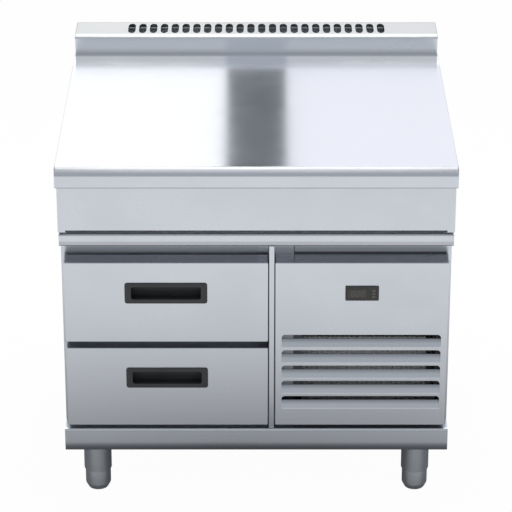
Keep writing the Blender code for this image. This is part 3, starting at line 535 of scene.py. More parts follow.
topLow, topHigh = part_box("worktop")
splashLow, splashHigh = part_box("splashback")
apronLow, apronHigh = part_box("apron")
deckLow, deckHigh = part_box("carcass_top")
trayLow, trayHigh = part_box("base_tray")
panelLow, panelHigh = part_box("service_panel")
sideLow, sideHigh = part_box("side_left")
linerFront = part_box("chamber_liner")[0].y
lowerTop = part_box("lower_front")[1].z

inFront = (panelLow.y, 0.0025, 0.005)
inBody = (panelLow.y, 0.013, 0.030)
lipFront = (topLow.y, 0.021, 0.015)
topBack = (splashLow.y, -0.106, -0.069)
splashTop = (splashHigh.z, -0.015, -0.008)
splashRear = (splashHigh.y, -0.006, -0.003)
# Painted shade: the top folds of the fronts, under the rail, are darker.
ledgeShadeTone = (0.40, 0.42, 0.455)
topLedgeShade = {"y": [inFront], "z": [(panelHigh.z, -0.008, -0.004)], "tone": ledgeShadeTone}
acrossX = (2.2, 300.0, 300.0)
acrossY = (300.0, 2.2, 300.0)
acrossZ = (6.0, 6.0, 420.0)
streakBack = (0, 1, 0.02)
streakUp = (0, 0.02, 1)
streakBoth = (0, 1, 1)

# The zones' tones help the light to match the photo: shaded ledges, folds, recesses and blades.
makeSteel(
    "worktopSteel", acrossX, streakBack,
    # Painted highlights: near the back, left and right of the middle, the worktop is painted white.
    *({"x": [(0, side * 0.062, side * 0.086)], "y": [topBack], "tone": (1.0, 1.0, 1.0)} for side in (-1, 1)),
    # Painted shade: a darker band on the worktop just in front of the splashback.
    {"y": [(splashLow.y, -0.031, -0.015)], "tone": (0.50, 0.525, 0.58)},
    # Painted shade: the front face of the lip is darker below the nose.
    {"z": [(topHigh.z, -0.006, -0.018)], "tone": (0.633, 0.667, 0.725)},
    {"y": [lipFront], "z": [(topHigh.z, -0.014, -0.007)], "rough": 0.22},
    # Painted shade: the top of the nose is darker, which dims the highlight it catches.
    {"y": [lipFront], "z": [(topHigh.z, -0.007, -0.003)], "tone": (0.49, 0.50, 0.515)},
    light=(0.73, 0.760, 0.815), dark=(0.70, 0.730, 0.79), roughness=0.12, anisotropy=0.8, grainContrast=0.6,
    grainDepth=0.00002, smearSize=1.6, smearAmount=0.35,
)
makeSteel("frontSteel", acrossX, streakUp)
makeSteel(
    "doorSteel", acrossX, streakUp, topLedgeShade,
    # Painted shade also on the folds at the gap between the drawers.
    {"y": [inFront], "z": [(lowerTop, -0.008, -0.004), (lowerTop, 0.008, 0.004)], "tone": ledgeShadeTone},
)
makeSteel(
    "railSteel", acrossX, streakUp,
    # Painted shade: below its knee the rail's face is darker.
    {"z": [(deckHigh.z, -0.0175, -0.0217)], "tone": (0.588, 0.618, 0.662)},
    # Painted light: the deck behind the rail, in the gap under the apron, is lighter and less metallic, so it
    # reads brighter.
    {"y": [(deckLow.y, 0.003, 0.008)], "z": [(deckHigh.z, -0.0035, -0.001)],
     "tone": (0.90, 0.92, 0.95), "metallic": 0.2},
)
makeSteel(
    "baseSteel", acrossX, streakUp,
    # Painted shade: the base rail is darker towards its foot.
    {"z": [(trayLow.z, 0.025, 0.006)], "tone": (0.45, 0.48, 0.54)},
    # Painted shade: it is also darker along its top edge, under the drawers.
    {"z": [(trayHigh.z, -0.012, -0.004)], "tone": (0.71, 0.75, 0.80)},
    # A lighter copy of the steel: painted light on the base rail.
    light=(0.80, 0.85, 0.92), dark=(0.73, 0.775, 0.845),
)
makeSteel(
    "panelSteel", acrossX, streakUp,
    # Painted shade: the louvre blades are darker where they sink into the slots.
    {"x": [(panelLow.x, 0.006, 0.010), (panelHigh.x, -0.006, -0.010)],
     "y": [(panelLow.y, 0.003, 0.0095)],
     "z": [(panelLow.z, 0.004, 0.010), (panelHigh.z, -0.160, -0.175)], "tone": (0.33, 0.36, 0.395)},
    topLedgeShade,
)
makeSteel("sideSteel", acrossY, streakUp)
makeSteel(
    "upperSteel", acrossX, streakBoth,
    # Painted light: the splashback's front is lighter just above the worktop.
    {"z": [(topHigh.z, 0.020, 0.001)], "tone": (0.95, 0.98, 1.0)},
    # Painted shade: the top of the splashback is darker.
    {"z": [(splashHigh.z, -0.009, -0.005)], "tone": (0.74, 0.765, 0.80)},
    {"z": [(splashHigh.z, -0.0035, -0.001)], "rough": 0.32},
    # Painted shade: the top is darker behind its first 20 mm, which leaves the front edge as a lighter band,
    # a painted highlight.
    {"y": [(splashLow.y, 0.014, 0.020)], "z": [splashTop], "tone": (0.537, 0.545, 0.553)},
    # Painted shade: the rear edge of the top is darker.
    {"y": [splashRear], "z": [splashTop], "tone": (0.36, 0.37, 0.385)},
    # Painted shade: the rear face below the top is darker.
    {"y": [splashRear], "z": [(splashHigh.z, -0.008, -0.015)], "tone": (0.70, 0.737, 0.793)},
    # A lighter copy of the steel: painted light on the splashback.
    light=(0.885, 0.93, 0.99), dark=(0.845, 0.89, 0.95),
)
makeSteel(
    # Painted shade: the legs are darker towards the edges that turn away from the view.
    "legSteel", acrossZ, (0, 0, 1), {"rim": (0.12, 0.40), "tone": (0.54, 0.58, 0.65)},
    # A lighter copy of the steel: painted light on the legs.
    light=(0.90, 0.95, 1.0), dark=(0.84, 0.89, 0.97), anisotropy=0.4, roughness=0.34, metallic=0.82,
)
makeSteel(
    "mullionSteel", acrossZ, (0, 0, 1),
    # Painted shade: deep in the machine bay, below the top, the mullion's flange is darker.
    {"y": [inBody], "z": [(panelHigh.z, -0.015, -0.035)], "tone": (0.40, 0.42, 0.45)},
    # Painted shade: the mullion is darker towards the bottom.
    {"z": [(panelLow.z, 0.097, -0.003)], "tone": (0.54, 0.585, 0.66)},
    anisotropy=0.4, roughness=0.26,
)
makeSteel(
    "linerSteel", acrossX, streakBoth,
    # Painted light: deeper inside, the liner is lighter, rougher and less metallic.
    {"y": [(linerFront, 0.012, 0.030)], "tone": (0.80, 0.84, 0.89), "rough": 0.45, "metallic": 0.30},
    # A darker copy of the steel: painted shade on the liner in the recess behind the fronts.
    light=(0.65, 0.69, 0.745), dark=(0.59, 0.63, 0.68), roughness=0.30, smearSize=2.0,
)
makeSteel(
    "bayFrameSteel", acrossX, streakBoth,
    # Painted shade: inside the machine bay, below the service panel's top, the frame is nearly black.
    {"y": [inBody], "z": [(panelHigh.z, 0.0065, 0.0015)], "tone": (0.13, 0.137, 0.150)},
    # A darker copy of the steel: painted shade on the bay frame.
    light=(0.68, 0.72, 0.775), dark=(0.62, 0.66, 0.71), roughness=0.30,
)
makeSteel("innerSteel", acrossX, streakBoth, roughness=0.30, smearSize=2.0)
makeZinc("zinc")
makeWindow("displayWindow")

# Dark and light colour, roughness, fineness and depth of the grain, and metallic.
mouldedPaints = {
    "blackPlastic": ((0.033, 0.035, 0.039), (0.043, 0.046, 0.051), 0.40, 1400.0, 0.00005),
    "bezelPlastic": ((0.040, 0.040, 0.038), (0.052, 0.051, 0.048), 0.40, 1400.0, 0.00005),
    "greyPlastic": ((0.10, 0.10, 0.105), (0.13, 0.13, 0.135), 0.42, 1400.0, 0.00005),
    "keyPlastic": ((0.125, 0.122, 0.110), (0.145, 0.142, 0.130), 0.45, 1600.0, 0.00004),
    "rubber": ((0.055, 0.055, 0.058), (0.075, 0.075, 0.078), 0.62, 700.0, 0.00010),
    "foam": ((0.62, 0.53, 0.33), (0.72, 0.64, 0.44), 0.85, 500.0, 0.0006),
    "copper": ((0.60, 0.30, 0.19), (0.74, 0.41, 0.28), 0.28, 500.0, 0.00004, 1.0),
    "fins": ((0.60, 0.61, 0.62), (0.72, 0.73, 0.74), 0.36, 600.0, 0.00005, 1.0),
    "dustyFins": ((0.62, 0.64, 0.67), (0.72, 0.74, 0.77), 0.75, 420.0, 0.00008),
    "enamel": ((0.012, 0.012, 0.013), (0.022, 0.022, 0.024), 0.28, 260.0, 0.00012),
}
for name, values in mouldedPaints.items():
    makeMoulded(name, *values)
print("materials made")


def makeWorktop():
    shape = {"noseRadius": 0.018, "footRadius": 0.003, "hem": 0.016, "endRound": 0.0026}
    hem = shape["hem"]

    def body(inset, soft=0.0):
        outline = noseOutline(
            topLow.y + inset, topHigh.y - inset, topLow.z + inset, topHigh.z - inset,
            shape["noseRadius"] - inset, shape["footRadius"] - inset, steps=16,
        )
        return extrude(outline, "x", topLow.x + inset, topHigh.x - inset, soft)

    mouth = box(
        (topLow.x + hem, topLow.y + hem, topLow.z - past),
        (topHigh.x - hem, topHigh.y - hem, topLow.z + topSheet + overlap),
    )
    made = cutAway(body(0, shape["endRound"]), body(topSheet), mouth)
    finishPiece(made, "worktopSheet", "worktopSteel", "worktop")


def makeSplashback():
    shape = {
        "round": 0.008, "rearRound": 0.0030, "endRound": 0.0022, "slots": 24, "pitch": 0.027,
        "slotWidth": 0.0184, "slotLength": 0.071, "slotCorner": 0.0088,
        "cornerStretch": 2.3, "slotInset": 0.024, "lipWidth": 0.008, "lipDrop": 0.0035, "lipWeb": 0.030,
        "lipBackShare": 0.145, "lipBend": 0.004,
    }
    wall = topSheet
    rear = shape["rearRound"]
    back = splashHigh.y
    top = splashHigh.z

    def body(inset, low, lowRadius, soft=0.0):
        radius = shape["round"] - inset
        front = splashLow.y + inset
        outline = noseOutline(front, back - inset, low, top - inset, radius, lowRadius, steps=12)
        outline = arcPoints(back - rear, top - rear, rear - inset, 0, 90, steps=6) + outline[1:]
        return extrude(outline, "x", splashLow.x + inset, splashHigh.x - inset, soft)

    made = cutAway(body(0, topLow.z, wall, shape["endRound"]), body(wall, topLow.z - past, wall / 2))
    cover = box((deckLow.x, back - wall, splashLow.z), (deckHigh.x, back, topLow.z + past))
    slotFront = splashLow.y + shape["slotInset"]
    slotBack = slotFront + shape["slotLength"]
    lipBack = slotBack - shape["slotLength"] * shape["lipBackShare"]
    lipTop = top - wall - shape["lipDrop"]
    reach = splashHigh.x - wall + overlap
    path = [(lipBack - shape["lipWidth"], lipTop), (lipBack, lipTop), (lipBack, lipTop - shape["lipWeb"])]
    strip = foldedOutline(path, -wall, shape["lipBend"], steps=5)
    weldOn(made, cover, extrude(strip, "x", -reach, reach))
    half = shape["slotWidth"] / 2
    long = shape["cornerStretch"]
    corner = shape["slotCorner"]
    slots = []
    for x in centred(shape["slots"], shape["pitch"]):
        squat = roundRect(x - half, x + half, slotFront / long, slotBack / long, corner, steps=8)
        outline = [(u, v * long, curved) for u, v, curved in squat]
        slots.append(extrude(outline, "z", top - wall - overlap, top + past))
    finishPiece(cutAway(made, *slots), "splashbackSheet", "upperSteel", "splashback")


# A folded sheet on the left and its mirror image on the right.
def makePair(path, wall, bend, axis, start, end, piece, node):
    outline = foldedOutline(path, wall, bend)
    for side, section in (("left", outline), ("right", reversedOutline(outline, -1))):
        finishPiece(extrude(section, axis, start, end), f"{piece}_{side}", "sideSteel", f"{node}_{side}")


def makeApron():
    shape = {"bend": 0.0017, "fold": 0.025, "tabWidth": 0.017, "tabDrop": 0.0035, "skirtFold": 0.017}
    front = apronLow.y
    low = apronLow.z + shape["tabDrop"]
    top = apronHigh.z
    back = front + shape["fold"]
    path = [(back, top), (front, top), (front, low), (back, low)]
    made = extrude(foldedOutline(path, topSheet, shape["bend"]), "x", apronLow.x, apronHigh.x)
    ends = []
    for wide, gap, start, far, high in (
        (topSheet, hair, low + hair, back, top - hair),
        (shape["tabWidth"], 0, apronLow.z, front + topSheet, low + shape["bend"] + overlap),
    ):
        for left in (apronLow.x, apronHigh.x - wide):
            ends.append(box((left + hair, front + hair, start), (left + wide - gap, far - hair, high)))
    finishPiece(weldOn(made, *ends), "apronStrip", "frontSteel", "apron")

    low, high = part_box("skirt_left")
    inner = low.x + shape["skirtFold"]
    path = [(inner, high.z), (low.x, high.z), (low.x, low.z), (inner, low.z)]
    makePair(path, topSheet, shape["bend"], "y", low.y, high.y, "skirtSheet", "skirt")


# Below its knee a rail's face curves back by the lean, in degrees, to a tight fold.
topRail = {"round": 0.006, "knee": 0.0165, "curve": 0.030, "lean": 6, "fold": 0.0035}
baseRail = {"round": 0.005, "knee": 0.0348, "curve": 0.070, "lean": 16, "fold": 0.0035}
railSteps = 10


# A rail that runs on to topBack at its top and to lowBack at its foot, with a plate at each end.
def makeRail(rail, low, high, topBack, lowBack, piece, paint, node):
    front = deckLow.y
    lean = math.radians(rail["lean"])
    corner = high.z - rail["knee"] - rail["curve"] * math.tan(lean / 2)
    foot = front + (corner - low.z) * math.tan(lean)
    bends = [0, rail["round"], rail["curve"], rail["fold"], 0]

    def section(topEnd, lowEnd):
        path = [(topEnd, high.z), (front, high.z), (front, corner), (foot, low.z), (lowEnd, low.z)]
        return foldedOutline(path, topSheet, bends, railSteps)

    made = extrude(section(topBack, lowBack), "x", low.x, high.x)
    plateBack = min(topBack, lowBack)
    outside = section(plateBack, plateBack)
    plate = shrunk(turnedLeft(outside[:len(outside) // 2]), hair)
    ends = [extrude(plate, "x", x + hair, x + topSheet - hair) for x in (low.x, high.x - topSheet)]
    finishPiece(weldOn(made, *ends), piece, paint, node)


def makeMullion():
    shape = {"noseWidth": 0.0134, "noseStart": 0.026, "flangeDepth": 0.020, "bend": 0.0026}
    low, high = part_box("mullion")
    plane = sideLow.y
    left = low.x + shape["noseStart"]
    right = left + shape["noseWidth"]
    path = [
        (low.x, plane), (left, plane), (left, low.y), (right, low.y), (right, plane), (high.x, plane),
        (high.x, plane + shape["flangeDepth"]),
    ]
    made = extrude(foldedOutline(path, skinSheet, shape["bend"]), "z", low.z, high.z)
    finishPiece(made, "mullionSheet", "mullionSteel", "mullion")


def makeSides():
    shape = {"frontFold": 0.012, "rearFold": 0.020, "bend": 0.0025}
    left = sideLow.x
    path = [
        (left + shape["rearFold"], sideHigh.y), (left, sideHigh.y), (left, sideLow.y),
        (left + shape["frontFold"], sideLow.y),
    ]
    makePair(path, skinSheet, shape["bend"], "z", sideLow.z, sideHigh.z, "sideSheet", "side")


def makeBackPanel():
    shape = {
        "vents": 9, "pitchShare": 0.0588, "width": 0.010, "low": 0.325, "height": 0.150, "roundShare": 0.98,
        "glandX": 0.350, "glandZ": 0.260, "glandRadius": 0.0103,
    }
    low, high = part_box("back_panel")
    made = box(low, high)
    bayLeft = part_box("insulation")[1].x
    bayRight = high.x - skinSheet
    half = shape["width"] / 2
    top = shape["low"] + shape["height"]
    corner = half * shape["roundShare"]
    tools = []
    for shift in centred(shape["vents"], shape["pitchShare"] * (bayRight - bayLeft)):
        x = (bayLeft + bayRight) / 2 + shift
        slot = roundRect(x - half, x + half, shape["low"], top, corner, steps=8)
        tools.append(extrude(slot, "y", low.y - past, high.y + past))
    radius = shape["glandRadius"]
    profile = [(0, -past), (radius, -past), (radius, past), (0, past)]
    tools.append(turned(profile, (shape["glandX"], low.y, shape["glandZ"]), "y", steps=32))
    finishPiece(cutAway(made, *tools), "backSheet", "frontSteel", "back_panel")


# The outer skin of a front, open at its back, with round folds and the given holes.
def foldedFront(low, high, *holes):
    shape = {"fold": 0.002, "corner": 0.0012}
    corner = shape["corner"] + shape["fold"]
    rings = [
        (frontRect(low, high, inset, corner - inset), low.y + rise, inset > 0)
        for inset, rise in quarterRound(shape["fold"], steps=6)
    ]
    rings.append((rings[-1][0], high.y, False))
    room = frontSlab(low, high, skinSheet, corner - skinSheet, low.y + skinSheet, high.y + past)
    return cutAway(stackRings(rings, "y"), room, *holes)


caseInset = 0.003


def makeServicePanel():
    shape = {
        "count": 5, "pitchShare": 0.095, "heightShare": 0.0767, "slotShare": 0.0336, "dropShare": 0.4365,
        "margin": 0.01525, "press": 0.009, "corner": 0.008, "cornerSteps": 8, "footRadius": 0.009,
    }
    front = panelLow.y
    tall = panelHigh.z - panelLow.z
    made = foldedFront(panelLow, panelHigh)
    left = panelLow.x + shape["margin"]
    right = panelHigh.x - shape["margin"]
    corner = shape["corner"]
    foot = shape["footRadius"]
    wedges = []
    openings = []
    for index in range(shape["count"]):
        top = panelHigh.z - tall * (shape["dropShare"] + index * shape["pitchShare"])
        low = top - tall * shape["heightShare"]
        crest = top - tall * shape["slotShare"]
        near = front + skinSheet / 2
        wedge = straight((near, low - skinSheet), (near + shape["press"], crest), (near, crest))
        wedges.append(extrude(wedge, "x", left - skinSheet, right + skinSheet))
        far = front + shape["press"] - skinSheet / 2
        lean = math.atan2(far - front, crest - low)
        start = low - foot * math.tan(lean / 2)
        outline = (
            straight((front - past, start))
            + arcPoints(front + foot, start, foot, 180, 180 - math.degrees(lean), steps=6)
            + straight((far, crest), (far, top), (front - past, top))
        )
        tool = extrude(outline, "x", left - past, right + past)
        hole = (
            arcPoints(right - corner, top - corner, corner, 0, 90, shape["cornerSteps"])
            + arcPoints(left + corner, top - corner, corner, 90, 180, shape["cornerSteps"])
            + straight((left, start - overlap), (right, start - overlap))
        )
        openings.append(combined(tool, [extrude(hole, "y", front - 2 * past, far + past)], "INTERSECT"))
    weldOn(made, *wedges)
    caseLow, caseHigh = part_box("controller_case")
    window = frontBox(caseLow, caseHigh, caseInset - seat, front - past, front + past)
    finishPiece(cutAway(made, *openings, window), "servicePanelSheet", "panelSteel", "service_panel")


def makeDrawer(drawer):
    shape = {
        "corner": 0.006, "cupInset": 0.004, "wall": 0.0025, "mouth": (0.160, 0, 0.030), "mouthCorner": 0.005,
        "lip": 0.003, "edge": 0.0012, "mouthEdge": 0.0014,
    }
    low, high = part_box(f"{drawer}_front")
    front = low.y
    gripLow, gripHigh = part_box(f"{drawer}_handle")
    middle = (gripLow + gripHigh) / 2
    corner = shape["corner"]
    steps = 8

    def cup(margin, start, end, grow=0.0):
        inset = shape["cupInset"] - margin
        return frontSlab(gripLow, gripHigh, inset, corner + grow, start, end, steps=steps)

    made = foldedFront(low, high, cup(seat, front - past, front + past))
    body = f"{drawer}_drawer"
    finishPiece(made, f"{drawer}DrawerFront", "doorSteel", f"{drawer}_front", body)

    handle = frontSlab(gripLow, gripHigh, 0, corner, gripLow.y, front - seat, shape["edge"], steps)
    weldOn(handle, cup(0, front - seat - overlap, gripHigh.y))
    mouth = Vector(shape["mouth"]) / 2
    rings = []
    for grow, rise in quarterRound(shape["mouthEdge"], steps=5):
        outline = frontRect(middle - mouth, middle + mouth, -grow, shape["mouthCorner"] + grow, steps)
        rings.append((outline, gripLow.y + rise, grow > 0))
    rings.insert(0, (rings[0][0], gripLow.y - past, False))
    rings.append((rings[-1][0], front + shape["lip"] + overlap, False))
    wall = shape["wall"]
    cutAway(handle, stackRings(rings, "y"), cup(-wall, front + shape["lip"], gripHigh.y - wall, -wall))
    finishPiece(handle, f"{drawer}Grip", "blackPlastic", f"{drawer}_handle", body)


def makeGasket(drawer):
    # Each point of the seal's profile: the edge it is measured from, 0 outer or 1 inner, its distance from
    # that edge, the share of the depth, and whether it is on a curve.
    shape = {
        "corner": 0.004, "width": 0.0115,
        "profile": (
            (0, 0.0012, 0, False), (1, 0.0012, 0, False), (1, 0.0012, 0.20, False), (1, 0.0028, 0.32, True),
            (1, 0.0028, 0.40, True), (1, 0, 0.52, True), (1, 0, 0.86, True), (1, 0.0012, 1, False),
            (0, 0.0018, 1, True), (0, 0, 0.86, True), (0, 0, 0.55, True), (0, 0.0022, 0.42, True),
            (0, 0.0022, 0.32, True), (0, 0.0012, 0.20, False),
        ),
    }
    low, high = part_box(f"{drawer}_gasket")
    rings = []
    for side, distance, share, curved in shape["profile"]:
        inset = shape["width"] - distance if side else distance
        outline = frontRect(low, high, inset, shape["corner"], steps=4)
        rings.append((outline, low.y + (high.y - low.y) * share, curved))
    made = stackRings(rings, "y", closed=True)
    finishPiece(made, f"{drawer}Seal", "rubber", f"{drawer}_gasket", f"{drawer}_drawer")


def makeController():
    shape = {
        "corner": 0.0022, "edge": 0.0010, "keyCorner": 0.001, "keyEdge": 0.0005, "wellDepth": 0.0009,
        "paneCorner": 0.0008, "paneEdge": 0.0002,
    }
    low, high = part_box("controller_case")
    front = panelLow.y
    made = frontSlab(low, high, 0, shape["corner"], low.y, front - seat, shape["edge"])
    weldOn(made, frontBox(low, high, caseInset, front - seat - overlap, high.y))
    paneLow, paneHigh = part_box("controller_window")
    tools = [frontBox(paneLow, paneHigh, -seat, low.y - past, paneHigh.y + seat)]
    for number in (1, 2, 3):
        key = f"key_{number}"
        keyLow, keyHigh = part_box(key)
        corner = shape["keyCorner"]
        wellBack = keyHigh.y + shape["wellDepth"]
        tools.append(frontSlab(keyLow, keyHigh, -seat, corner + seat, low.y - past, wellBack))
        cap = frontSlab(keyLow, keyHigh, 0, corner, keyLow.y, keyHigh.y, shape["keyEdge"])
        finishPiece(cap, f"keyCap_{number}", "keyPlastic", key, key)
    finishPiece(
        cutAway(made, *tools), "controllerCase", "bezelPlastic", "controller_case"
    )
    corner = shape["paneCorner"]
    edge = shape["paneEdge"]
    pane = frontSlab(paneLow, paneHigh, 0, corner, paneLow.y, paneHigh.y, edge, steps=4, softSteps=2)
    finishPiece(pane, "controllerPane", "displayWindow", "controller_window")


# The bars of the display's unlit figures, as thin plates on the window.
def makeDigits():
    shape = {
        "count": 3, "width": 0.0068, "height": 0.0128, "bar": 0.0013, "gapShare": 0.35, "pitch": 0.0108,
        "slant": 0.10, "proud": 0.00006,
    }
    low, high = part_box("controller_window")
    middle = (low + high) / 2
    made = bmesh.new()
    half = shape["width"] / 2
    rise = shape["height"] / 2
    bars = [((-half, level), (half, level)) for level in (rise, 0, -rise)]
    bars += [((side, base), (side, base + rise)) for base in (0, -rise) for side in (-half, half)]
    for shift in centred(shape["count"], shape["pitch"]):
        for start, end in bars:
            start = Vector(start)
            end = Vector(end)
            way = (end - start).normalized() * shape["bar"]
            side = Vector((-way.y, way.x)) / 2
            start = start + way * shape["gapShare"]
            end = end - way * shape["gapShare"]
            tip = way / 2
            outline = [start, start + tip - side, end - tip - side, end, end - tip + side, start + tip + side]
            rings = []
            for y in (low.y - shape["proud"], low.y + shape["proud"]):
                places = [(p.x + p.y * shape["slant"] + middle.x + shift, y, middle.z + p.y) for p in outline]
                rings.append([made.verts.new(place) for place in places])
            near, far = rings
            bridge(made, near, far, [False] * len(outline))
            made.faces.new(near)
            made.faces.new(far)
    finishPiece(asObject(made), "unlitDigits", "keyPlastic")


# The thin fins between the condenser's plates, which its CAD part leaves out.
def makeCondenserFins():
    shape = {"plates": 26, "plateShare": 0.60, "depth": 0.047, "fins": 3, "fin": 0.0010}
    low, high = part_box("condenser")
    sledLow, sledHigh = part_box("machine_sled")
    width = sledLow.x + sledHigh.x - 2 * low.x
    plate = width * shape["plateShare"] / shape["plates"]
    pitch = (width - plate) / (shape["plates"] - 1)
    made = bmesh.new()
    for index in range(shape["plates"] - 1):
        for rank in range(1, shape["fins"] + 1):
            x = low.x + plate + index * pitch + rank * (pitch - plate) / (shape["fins"] + 1)
            place = Matrix.Translation((x, low.y + shape["depth"] / 2, (low.z + high.z) / 2))
            size = Matrix.Diagonal((shape["fin"], shape["depth"], high.z - low.z, 1.0))
            bmesh.ops.create_cube(made, size=1.0, matrix=place @ size)
    finishPiece(asObject(made), "condenserFins", "dustyFins")


def makeLeg(place):
    shape = {
        "radius": 0.0327, "wall": 0.002, "flangeRadius": 0.045, "flange": 0.004, "nut": 0.016, "bore": 0.0105,
        "footRadius": 0.030, "chamfer": 0.007, "chamferHeight": 0.013, "stem": 0.010, "rimEase": 0.0015,
        "ease": 0.0012, "plateEase": 0.0008, "footEase": 0.003, "stemEase": 0.001,
    }
    ease = shape["ease"]
    low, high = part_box(f"leg_{place}")
    centre = ((low.x + high.x) / 2, (low.y + high.y) / 2, 0)
    plate = high.z - shape["flange"]
    outer = shape["radius"]
    inner = outer - shape["wall"]
    flange = shape["flangeRadius"]
    nutTop = low.z + shape["nut"]
    tube = easedProfile([
        (shape["bore"], low.z, 0), (outer, low.z, shape["rimEase"]), (outer, plate, ease),
        (flange, plate, ease), (flange, high.z, shape["plateEase"]), (0, high.z, 0), (0, plate, 0),
        (inner, plate, 0), (inner, nutTop, 0), (shape["bore"], nutTop, 0),
    ])
    finishPiece(turned(tube, centre), f"legTube_{place}", "legSteel", f"leg_{place}")
    legFoot = low.z - seat
    low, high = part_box(f"foot_{place}")
    reach = shape["footRadius"]
    stem = shape["stem"]
    foot = easedProfile([
        (0, low.z, 0), (reach - shape["chamfer"], low.z, ease),
        (reach, shape["chamferHeight"], shape["footEase"]), (reach, legFoot, ease), (stem, legFoot, 0),
        (stem, high.z, shape["stemEase"]), (0, high.z, 0),
    ])
    node = f"foot_{place}"
    finishPiece(turned(foot, centre), f"footTurned_{place}", "legSteel", node, node)


makeWorktop()
makeSplashback()
makeApron()
makeRail(topRail, deckLow, deckHigh, deckHigh.y, sideLow.y - seat, "cabinetTop", "railSteel", "carcass_top")
makeRail(baseRail, trayLow, trayHigh, sideLow.y - seat, trayHigh.y, "cabinetBase", "baseSteel", "base_tray")
makeMullion()
makeSides()
makeBackPanel()
makeServicePanel()
print("sheet metal made")
for drawer in ("upper", "lower"):
    makeDrawer(drawer)
    makeGasket(drawer)
makeController()
makeDigits()
makeCondenserFins()
for place in ("front_left", "front_right", "back_left", "back_right"):
    makeLeg(place)
print("fronts, controls and legs made")

# What the pieces are painted with that stay as they are in the frame.
plainPaints = {
    "linerSteel": ["chamber_liner"],
    "bayFrameSteel": ["bay_frame"],
    "innerSteel": [
        "cross_bar", "upper_core", "lower_core", "upper_pan_frame", "lower_pan_frame", "evaporator_cover",
    ],
    "zinc": ["machine_sled"] + [
        f"{drawer}_{member}_{side}"
        for drawer in ("upper", "lower") for member in ("rail", "slide") for side in ("left", "right")
    ],
    "foam": ["insulation"],
    "fins": ["evaporator_coil"],
    "dustyFins": ["condenser", "condenser_fan"],
    "enamel": ["evaporator_motor", "fan_shroud", "condenser_motor", "compressor"],
    "copper": ["suction_pipe"],
    "greyPlastic": ["switch_box"],
    "blackPlastic": ["evaporator_fan", "cord_gland"],
}
for paint, nodes in plainPaints.items():
    for node in nodes:
        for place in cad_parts[node].material_slots:
            place.material = paints[paint]
print("inner pieces painted")

white = (1.0, 1.0, 1.0)
def rayMask(tree, *kinds):
    path = tree.nodes.new("ShaderNodeLightPath")
    total = path.outputs[kinds[0]]
    for kind in kinds[1:]:
        total = mathNode("ADD", total, path.outputs[kind], True)
    return total


def mixShader(share, first, second):
    return addNode(share.id_data, "MixShader", {"Fac": share, 1: first, 2: second}).outputs[0]


def lightNode(tree, kind, strength, tint=white):
    return addNode(tree, kind, {"Color": opaque(tint), "Strength": strength}).outputs[0]


# The room is white for the camera; metal sees it pale behind the unit and dimmer in front.
def makeWorld():
    shape = {
        "fill": 0.60, "frontRise": (0.35, 0.85), "frontTone": (0.50, 0.47), "turn": (-0.25, 0.15),
        "backTone": 0.72, "tint": (0.965, 0.995, 1.035),
    }
    world = bpy.data.worlds.new("studioRoom")
    bpy.context.scene.world = world
    world.use_nodes = True
    tree = world.node_tree
    tree.nodes.clear()
    place = tree.nodes.new("ShaderNodeTexCoord").outputs["Generated"]
    split = addNode(tree, "SeparateXYZ", {"Vector": place}).outputs
    front = rampNode(split["Z"], *shape["frontRise"], *shape["frontTone"])
    turn = rampNode(split["Y"], *shape["turn"])
    tone = addNode(tree, "Mix", {"Factor": turn, "A": front, "B": shape["backTone"]}).outputs["Result"]
    fill = lightNode(tree, "Background", shape["fill"])
    mirrored = lightNode(tree, "Background", tone, shape["tint"])
    seen = mixShader(rayMask(tree, "Is Glossy Ray", "Is Transmission Ray"), fill, mirrored)
    final = mixShader(rayMask(tree, "Is Camera Ray"), seen, lightNode(tree, "Background", 1.0))
    addNode(tree, "OutputWorld", {"Surface": final})


# A pale floor. In metal it shows a painted shadow: its glow darkens towards the unit, standing in for the
# shade of the floor near it, and dims again far away.
def makeFloor():
    shape = {
        "size": 16.0, "tone": 0.88, "glow": 0.97, "sideShare": 0.65, "nearReach": (0.25, 1.75),
        "nearTone": (0.06, 1.0), "endReach": (2.9, 4.1), "endTone": (1.0, 0.48),
    }
    flat = bmesh.new()
    half = shape["size"] / 2
    corners = ((-half, -half), (half, -half), (half, half), (-half, half))
    flat.faces.new([flat.verts.new((x, y, 0)) for x, y in corners])
    floor = asObject(flat, "studioFloor")
    tree = startMaterial("studioFloor")[0]
    tree.nodes.clear()
    matte = addNode(tree, "BsdfDiffuse", {"Color": (shape["tone"],) * 3 + (1.0,)}).outputs[0]
    place = tree.nodes.new("ShaderNodeNewGeometry").outputs
    squeeze = {0: place["Position"], 1: (shape["sideShare"], 1.0, 1.0)}
    squeezed = addNode(tree, "VectorMath", squeeze, operation="MULTIPLY").outputs["Vector"]
    reach = addNode(tree, "VectorMath", {0: squeezed}, operation="LENGTH").outputs["Value"]
    near = rampNode(reach, *shape["nearReach"], *shape["nearTone"])
    far = rampNode(reach, *shape["endReach"], *shape["endTone"])
    # Painted shadow: what metal sees of the floor is a glow that is dim near the unit.
    mirrored = lightNode(tree, "Emission", mathNode("MULTIPLY", near, far))
    glow = mathNode("MULTIPLY", rayMask(tree, "Is Camera Ray"), shape["glow"])
    shown = mixShader(glow, matte, lightNode(tree, "Emission", 1.0))
    lit = mixShader(rayMask(tree, "Is Glossy Ray", "Is Transmission Ray"), shown, mirrored)
    clear = addNode(tree, "BsdfTransparent", {}).outputs[0]
    final = mixShader(place["Backfacing"], lit, clear)
    addNode(tree, "OutputMaterial", {"Surface": final})
    floor.data.materials.append(paints["studioFloor"])


lampAim = (0, 0, 0.85)
# The place, width, height, power and tint of each lamp.
softboxes = {
    "softboxLeft": ((-0.70, 1.75, 1.75), 1.50, 1.7, 5.15, (1.0, 0.95, 0.875)),
    "softboxRight": ((0.70, 1.75, 1.75), 1.50, 1.7, 3.30, (1.0, 0.92, 0.93)),
    "softboxTop": ((0.0, 0.70, 3.4), 2.4, 2.4, 46.0, white),
}


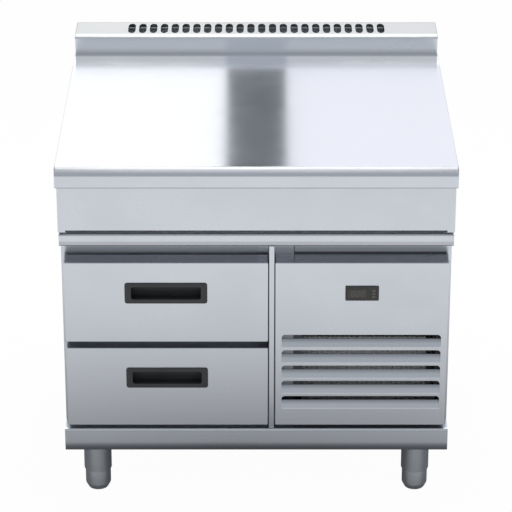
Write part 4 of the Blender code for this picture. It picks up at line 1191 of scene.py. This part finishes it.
def addSoftbox(name, place, wide, tall, power, tint):
    lamp = bpy.data.lights.new(name, "AREA")
    lamp.shape = "RECTANGLE"
    lamp.size = wide
    lamp.size_y = tall
    lamp.energy = power
    lamp.color = tint
    held = bpy.data.objects.new(name, lamp)
    bpy.context.scene.collection.objects.link(held)
    held.location = place
    held.rotation_mode = "QUATERNION"
    held.rotation_quaternion = (Vector(lampAim) - Vector(place)).to_track_quat("-Z", "Y")
    held.visible_camera = False


# A narrow dark board behind the unit, between the softboxes, which the worktop reflects.
def makeFlag():
    shape = {
        "halfWidth": 0.078, "flare": 1.43, "low": 0.80, "high": 2.9, "place": 1.5, "tone": 0.02, "glow": 0.15,
        "tint": (0.86, 0.93, 1.0),
    }
    flat = bmesh.new()
    half = shape["halfWidth"]
    wide = half * shape["flare"]
    corners = ((-half, "low"), (half, "low"), (wide, "high"), (-wide, "high"))
    flat.faces.new([flat.verts.new((x, shape["place"], shape[level])) for x, level in corners])
    flag = asObject(flat, "studioFlag")
    shader = startMaterial("studioFlag")[1]
    setInputs(shader, {
        "Base Color": (shape["tone"],) * 3 + (1.0,), "Roughness": 1.0, "Specular IOR Level": 0.0,
        "Emission Color": opaque(shape["tint"]), "Emission Strength": shape["glow"],
    })
    flag.data.materials.append(paints["studioFlag"])
    flag.visible_camera = False
    flag.visible_diffuse = False


makeWorld()
makeFloor()
for name, values in softboxes.items():
    addSoftbox(name, *values)
makeFlag()

photoView = {
    "place": (0.0, -5.8187, 3.0591), "pitch": 66.054, "lens": 184.1, "sensor": 36.0, "shiftX": -0.00066,
}
lens = bpy.data.cameras.new("photoCamera")
lens.lens = photoView["lens"]
lens.sensor_width = photoView["sensor"]
lens.shift_x = photoView["shiftX"]
camera = bpy.data.objects.new("photoCamera", lens)
bpy.context.scene.collection.objects.link(camera)
camera.location = photoView["place"]
camera.rotation_euler = (math.radians(photoView["pitch"]), 0, 0)
bpy.context.scene.camera = camera
bpy.context.scene.view_settings.view_transform = "Standard"
print("studio ready")
